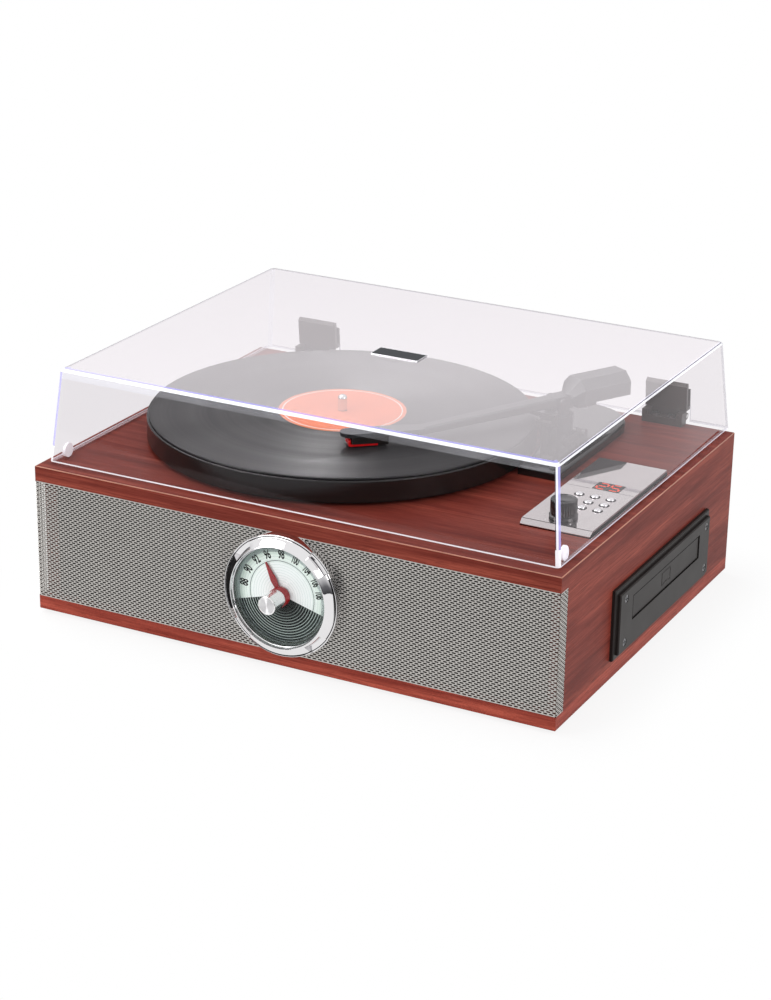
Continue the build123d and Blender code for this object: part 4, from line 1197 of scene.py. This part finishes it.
def volumeKnob():
    # a ribbed barrel on a round skirt: radius falls by the ribs' depth between one rib and the next
    s = volumeSettings
    low, high = boxOf("volume_knob")
    panelTop = boxOf("control_panel")[1][2]
    profile = np.array(s["profile"]) * mm
    scale = (high[2] - panelTop - 0.3 * mm) / profile[:, 1].max()
    turns = s["ribs"] * s["stepsPerRib"]
    angle = equalTurns(turns)
    r, h = turnedGrid(profile, angle)
    wave = s["ribDepth"] * (1 - np.abs(np.cos(angle * s["ribs"] / 2)) ** 0.7)
    r = np.where((h > 2.5 * mm) & (h < 13.7 * mm) & (r > 9.5 * mm), r - wave, r)
    middle = (low + high) / 2
    points = np.stack([middle[0] + r * np.sin(angle), middle[1] + r * np.cos(angle),
                       panelTop + 0.3 * mm + h * scale], -1).reshape(-1, 3)
    quads = [list(q) for q in gridQuads(len(profile), turns, wrapColumns=True)]
    quads.append(list(range(turns)))
    quads.append(list(range((len(profile) - 1) * turns, len(profile) * turns)))
    knob = addPiece("ribbedVolumeKnob", points, quads, ribBlack, "volume",
                    ("volume_knob",), smooth=40)
    turnOutwards(knob)


volumeKnob()
print("panel made")

# ---------- tonearm and small mouldings

edgeHighlightOf = {"tonearm_beam": armEdgeHighlight, "tonearm_rear_block": armEdgeHighlight, "hinge_clips": hingeEdgeHighlight}


def softMouldings():
    # moulded pieces with their edges rounded; the tonearm beam, rear block and hinge clips get a pale colour
    # on those edges, a painted highlight
    for node, body, width in (
            ("tonearm_beam", "arm", 0.6), ("tonearm_rear_block", "arm", 0.6), ("cartridge", "arm", 0.4),
            ("stylus", "arm", 0.35), ("arm_rest", "cabinet", 0.4), ("cue_lever", "lever", 0.4),
            ("hinge_clips", "lid", 0.5), ("hinge_bases", "cabinet", 0.5), ("cassette_flap", "flap", 0.3),
            ("speed_switch", "speed", 0.4), ("display_window", "cabinet", 0.25)):
        soft = softened(node, nodeFinish[node], body, width * mm, 2)
        if node in edgeHighlightOf:
            soft.data.materials.append(edgeHighlightOf[node])
            soft.modifiers["soft edge"].material = 1


softMouldings()


def onFlap(points):
    # (along, up, out) on the cassette flap to the room
    low, high = boxOf("cassette_flap")
    middle = (low + high) / 2
    return np.stack([high[0] + points[:, 2], middle[1] + points[:, 0], middle[2] + points[:, 1]], -1)


markSettings = {"halfWide": 8.5 * mm, "halfTall": 5.2 * mm, "line": 0.5 * mm, "proud": 0.18 * mm,
                "foot": 4.6 * mm}


def flapRelief():
    # a raised frame with a short bar along its foot
    w, h, t, level, foot = (markSettings[k] for k in ("halfWide", "halfTall", "line", "proud", "foot"))
    lows = [(-w, -h, 0), (-w, h - t, 0), (-w, -h + t, 0), (w - t, -h + t, 0), (-foot, -h + t, 0)]
    highs = [(w, -h + t, level), (w, h, level), (-w + t, h - t, level), (w, h - t, level),
             (foot, -h + 3 * t, level)]
    boxes("flapMark", lows, highs, satinBlack, "flap", turn=onFlap)


seamSettings = {"wide": 0.55 * mm, "rise": 0.03 * mm}


def flapSeam():
    # a black strip round the flap on its frame: painted shade for the gap between them
    low, high = boxOf("cassette_flap")
    frameHigh = boxOf("cassette_frame")[1]
    middle, half = (low + high) / 2, (high - low) / 2
    t, rise = seamSettings["wide"], seamSettings["rise"]
    out = frameHigh[0] - high[0]
    w, h = half[1] + t * 0.8, half[2] + t * 0.8
    lows = [(-w, -h, out), (-w, h - t, out), (-w, -h + t, out), (w - t, -h + t, out)]
    highs = [(w, -h + t, out + rise), (w, h, out + rise), (-w + t, h - t, out + rise),
             (w, h - t, out + rise)]
    boxes("flapSeam", lows, highs, gapBlack, "cabinet", turn=onFlap)


flapRelief()
flapSeam()


collarSettings = {
    "plateAhead": 9.0 * mm,     # from the sockets' rear end to the plate
    "profile": ((4.2, 0), (6.4, 0), (6.4, 0.9), (4.2, 0.9)),   # radius, proud of the plate
    "turns": 48,
}


def socketRings():
    # red and white collars round the two line sockets
    s = collarSettings
    plateY = boxOf("rear_sockets")[1][1] - s["plateAhead"]
    angle = equalTurns(s["turns"])
    r, h = turnedGrid(np.array(s["profile"]) * mm, angle)
    mounts = {m["name"]: m for m in frame["record"]["mounts"]}
    for name, finish in (("line_out_left", jackWhite), ("line_out_right", jackRed)):
        place = np.array(mounts[name]["pos_m"])
        points = np.stack([place[0] + r * np.cos(angle), plateY + h, place[2] + r * np.sin(angle)], -1)
        points = points.reshape(-1, 3)
        quads = gridQuads(*r.shape, wrapRows=True, wrapColumns=True)
        ring = addPiece("collar_" + name, points, quads, finish, "cabinet")
        turnOutwards(ring)


socketRings()
print("mouldings made")

# ---------- camera, lights, floor

cameraSettings = {
    "azimuth": 27.13, "elevation": 21.79, "roll": 1.00,   # degrees
    "distance": 1.971, "focalPixels": 2525, "centreX": 391.9, "centreY": 518.9,
    "frameWidth": 771, "frameHeight": 1000,
}


def placeCamera():
    s = cameraSettings
    low, high = boxOf("deck_board")
    target = np.array([(low[0] + high[0]) / 2, (low[1] + high[1]) / 2, 61.6 * mm])
    az, el, roll = (math.radians(s[k]) for k in ("azimuth", "elevation", "roll"))
    back = np.array([math.sin(az) * math.cos(el), -math.cos(az) * math.cos(el), math.sin(el)])
    right = np.cross(-back, [0, 0, 1])
    right /= np.linalg.norm(right)
    up = np.cross(right, -back)
    rightRolled = math.cos(roll) * right + math.sin(roll) * up
    upRolled = -math.sin(roll) * right + math.cos(roll) * up
    data = bpy.data.cameras.new("camera")
    camera = bpy.data.objects.new("camera", data)
    bpy.context.scene.collection.objects.link(camera)
    spot = target + back * s["distance"]
    rows = [[rightRolled[i], upRolled[i], back[i], spot[i]] for i in range(3)] + [[0, 0, 0, 1]]
    camera.matrix_world = Matrix(rows)
    data.sensor_fit = "AUTO"
    data.sensor_width = 36
    data.lens = s["focalPixels"] * 36 / s["frameHeight"]
    data.shift_x = -(s["centreX"] - s["frameWidth"] / 2) / s["frameHeight"]
    data.shift_y = (s["centreY"] - s["frameHeight"] / 2) / s["frameHeight"]
    data.clip_end = 50
    bpy.context.scene.camera = camera


lampAim = (0, 0, 0.1)
lampSettings = {                # place and size in metres, watts
    "overhead": ((-0.80, 0.10, 1.35), (1.1, 1.4), 14),
    "frontLeft": ((-1.1, -1.4, 0.9), (0.9, 0.9), 13),
    "right": ((1.6, -0.3, 0.8), (0.8, 1.1), 10.5),
    "groove wedge": ((-0.56, 0.84, 0.97), (0.10, 0.5), 3.6),
}


def softLight(name):
    place, size, power = lampSettings[name]
    data = bpy.data.lights.new(name, "AREA")
    data.shape = "RECTANGLE"
    data.size, data.size_y = size
    data.energy = power
    light = bpy.data.objects.new(name, data)
    bpy.context.scene.collection.objects.link(light)
    light.location = place
    light.rotation_euler = (Vector(lampAim) - Vector(place)).to_track_quat("-Z", "Y").to_euler()
    return light


floorSettings = {
    "size": 6.0,             # metres to the back and right
    "front": -0.75,          # the table ends a little way in front of the cabinet and to its left
    "left": -1.2,
    "nearWhite": 0.86,       # share of plain white beside the cabinet, where its shadow shows
    "whiteBy": 0.07,         # metres from the cabinet where the floor is all white
}


def studioWorld():
    scene = bpy.context.scene
    scene.view_settings.view_transform = "Standard"
    world = bpy.data.worlds.new("studio")
    world.use_nodes = True
    scene.world = world
    tree = world.node_tree
    tree.nodes.clear()
    path = add(tree, "ShaderNodeLightPath")
    seen = math2(tree, "MAXIMUM", path.outputs["Is Camera Ray"], path.outputs["Is Transmission Ray"])
    direction = add(tree, "ShaderNodeSeparateXYZ",
                    Vector=add(tree, "ShaderNodeTexCoord").outputs["Generated"])
    # in mirrors the room is white above and dark towards and under the horizon
    height = mapped(tree, direction.outputs[2], 0, 1, -0.1, 0.4)
    sky = ramp(tree, height, [(0.0, (0.05, 0.05, 0.055)), (0.28, (0.16, 0.16, 0.17)),
                              (0.55, (0.62, 0.62, 0.63)), (0.85, (1.0, 1.0, 1.0))])
    glossy = add(tree, "ShaderNodeBackground", Color=sky, Strength=1.0)
    fill = add(tree, "ShaderNodeBackground", Color=(0.96, 0.97, 1, 1), Strength=0.55)
    white = add(tree, "ShaderNodeBackground", Color=(1, 1, 1, 1), Strength=1.0)
    first = add(tree, "ShaderNodeMixShader", in0=path.outputs["Is Glossy Ray"], in1=fill.outputs[0],
                in2=glossy.outputs[0])
    second = add(tree, "ShaderNodeMixShader", in0=seen, in1=first.outputs[0], in2=white.outputs[0])
    tree.links.new(second.outputs[0], add(tree, "ShaderNodeOutputWorld").inputs[0])


def studioLamps():
    for name in ("overhead", "frontLeft", "right"):
        softLight(name)
    # a narrow lamp behind, for the record's sheen alone: it draws the bright wedge across the grooves
    wedge = softLight("groove wedge")
    wedge.visible_diffuse = False
    grooved = bpy.data.collections.new("grooved")
    for one in bpy.data.objects:
        if one.type == "MESH" and any(slot.material == pressedVinyl for slot in one.material_slots):
            grooved.objects.link(one)
    wedge.light_linking.receiver_collection = grooved


def paperFloor():
    # the floor keeps the cabinet's shadow near it and is plain white further off
    size, front, left = floorSettings["size"], floorSettings["front"], floorSettings["left"]
    mesh = bpy.data.meshes.new("floor")
    mesh.from_pydata([(left, front, 0), (size, front, 0), (size, size, 0), (left, size, 0)], [],
                     [(0, 1, 2, 3)])
    floor = bpy.data.objects.new("floor", mesh)
    bpy.context.scene.collection.objects.link(floor)
    material, tree, surface, output = newMaterial("paperFloor")
    surface.inputs["Base Color"].default_value = (0.93, 0.93, 0.93, 1)
    surface.inputs["Roughness"].default_value = 0.9
    # how far a spot lies outside the cabinet's footprint
    boardLow, boardHigh = boxOf("bottom_board")
    middle, half = (boardLow + boardHigh) / 2, (boardHigh - boardLow) / 2
    place = add(tree, "ShaderNodeSeparateXYZ", Vector=objectPlace(tree, move=(-middle[0], -middle[1], 0)))

    def beyond(i):
        past = math2(tree, "SUBTRACT", math2(tree, "ABSOLUTE", place.outputs[i]), half[i])
        return math2(tree, "MAXIMUM", past, 0)

    gap = add(tree, "ShaderNodeCombineXYZ", X=beyond(0), Y=beyond(1)).outputs[0]
    distance = add(tree, "ShaderNodeVectorMath", {"operation": "LENGTH"}, in0=gap).outputs["Value"]
    away = ramp(tree, math2(tree, "DIVIDE", distance, floorSettings["whiteBy"]),
                [(0.0, (floorSettings["nearWhite"],) * 3), (1.0, (1, 1, 1))], "EASE")
    path = add(tree, "ShaderNodeLightPath")
    seen = math2(tree, "MAXIMUM", path.outputs["Is Camera Ray"], path.outputs["Is Transmission Ray"])
    seen = math2(tree, "MAXIMUM", seen, path.outputs["Is Glossy Ray"])
    white = add(tree, "ShaderNodeEmission", Color=(1, 1, 1, 1), Strength=1.0)
    blend = add(tree, "ShaderNodeMixShader", in0=math2(tree, "MULTIPLY", away, seen),
                in1=surface.outputs[0],
                in2=white.outputs[0])
    tree.links.new(blend.outputs[0], output.inputs[0])
    mesh.materials.append(material)


cardSettings = {
    "beside": 9 * mm,       # from the bezel's edge
    "deep": 16 * mm,
    "tall": 56 * mm,
}


def darkCards():
    # two small black cards either side of the dial give its chrome dark flanks; only mirrors see them
    s = cardSettings
    bezelLow, bezelHigh = boxOf("dial_bezel")
    frontY = boxOf("speaker_grille")[0][1]
    verts, faces = [], []
    for i, x in enumerate((bezelLow[0] - s["beside"], bezelHigh[0] + s["beside"])):
        for y, z in ((0, -1), (1, -1), (1, 1), (0, 1)):
            verts.append((x, frontY - 1 * mm - y * s["deep"], dialCentre[2] + z * s["tall"] / 2))
        faces.append(tuple(4 * i + k for k in range(4)))
    mesh = bpy.data.meshes.new("darkCards")
    mesh.from_pydata(verts, [], faces)
    material, tree, surface, output = newMaterial("cardBlack")
    surface.inputs["Base Color"].default_value = (0.01, 0.01, 0.01, 1)
    surface.inputs["Roughness"].default_value = 0.9
    clear = add(tree, "ShaderNodeBsdfTransparent")
    # louvred: black looked at straight on, open to slanting light, so the grille doesn't mirror them
    facing = add(tree, "ShaderNodeLayerWeight", Blend=0.5).outputs["Facing"]
    slanting = ramp(tree, facing, [(0.22, (0, 0, 0)), (0.32, (1, 1, 1))])
    blend = add(tree, "ShaderNodeMixShader", in0=slanting, in1=surface.outputs[0], in2=clear.outputs[0])
    tree.links.new(blend.outputs[0], output.inputs[0])
    mesh.materials.append(material)
    cards = bpy.data.objects.new("darkCards", mesh)
    bpy.context.scene.collection.objects.link(cards)
    cards.visible_camera = False
    cards.visible_diffuse = False
    cards.visible_transmission = False
    cards.visible_shadow = False


placeCamera()
studioWorld()
studioLamps()
paperFloor()
darkCards()
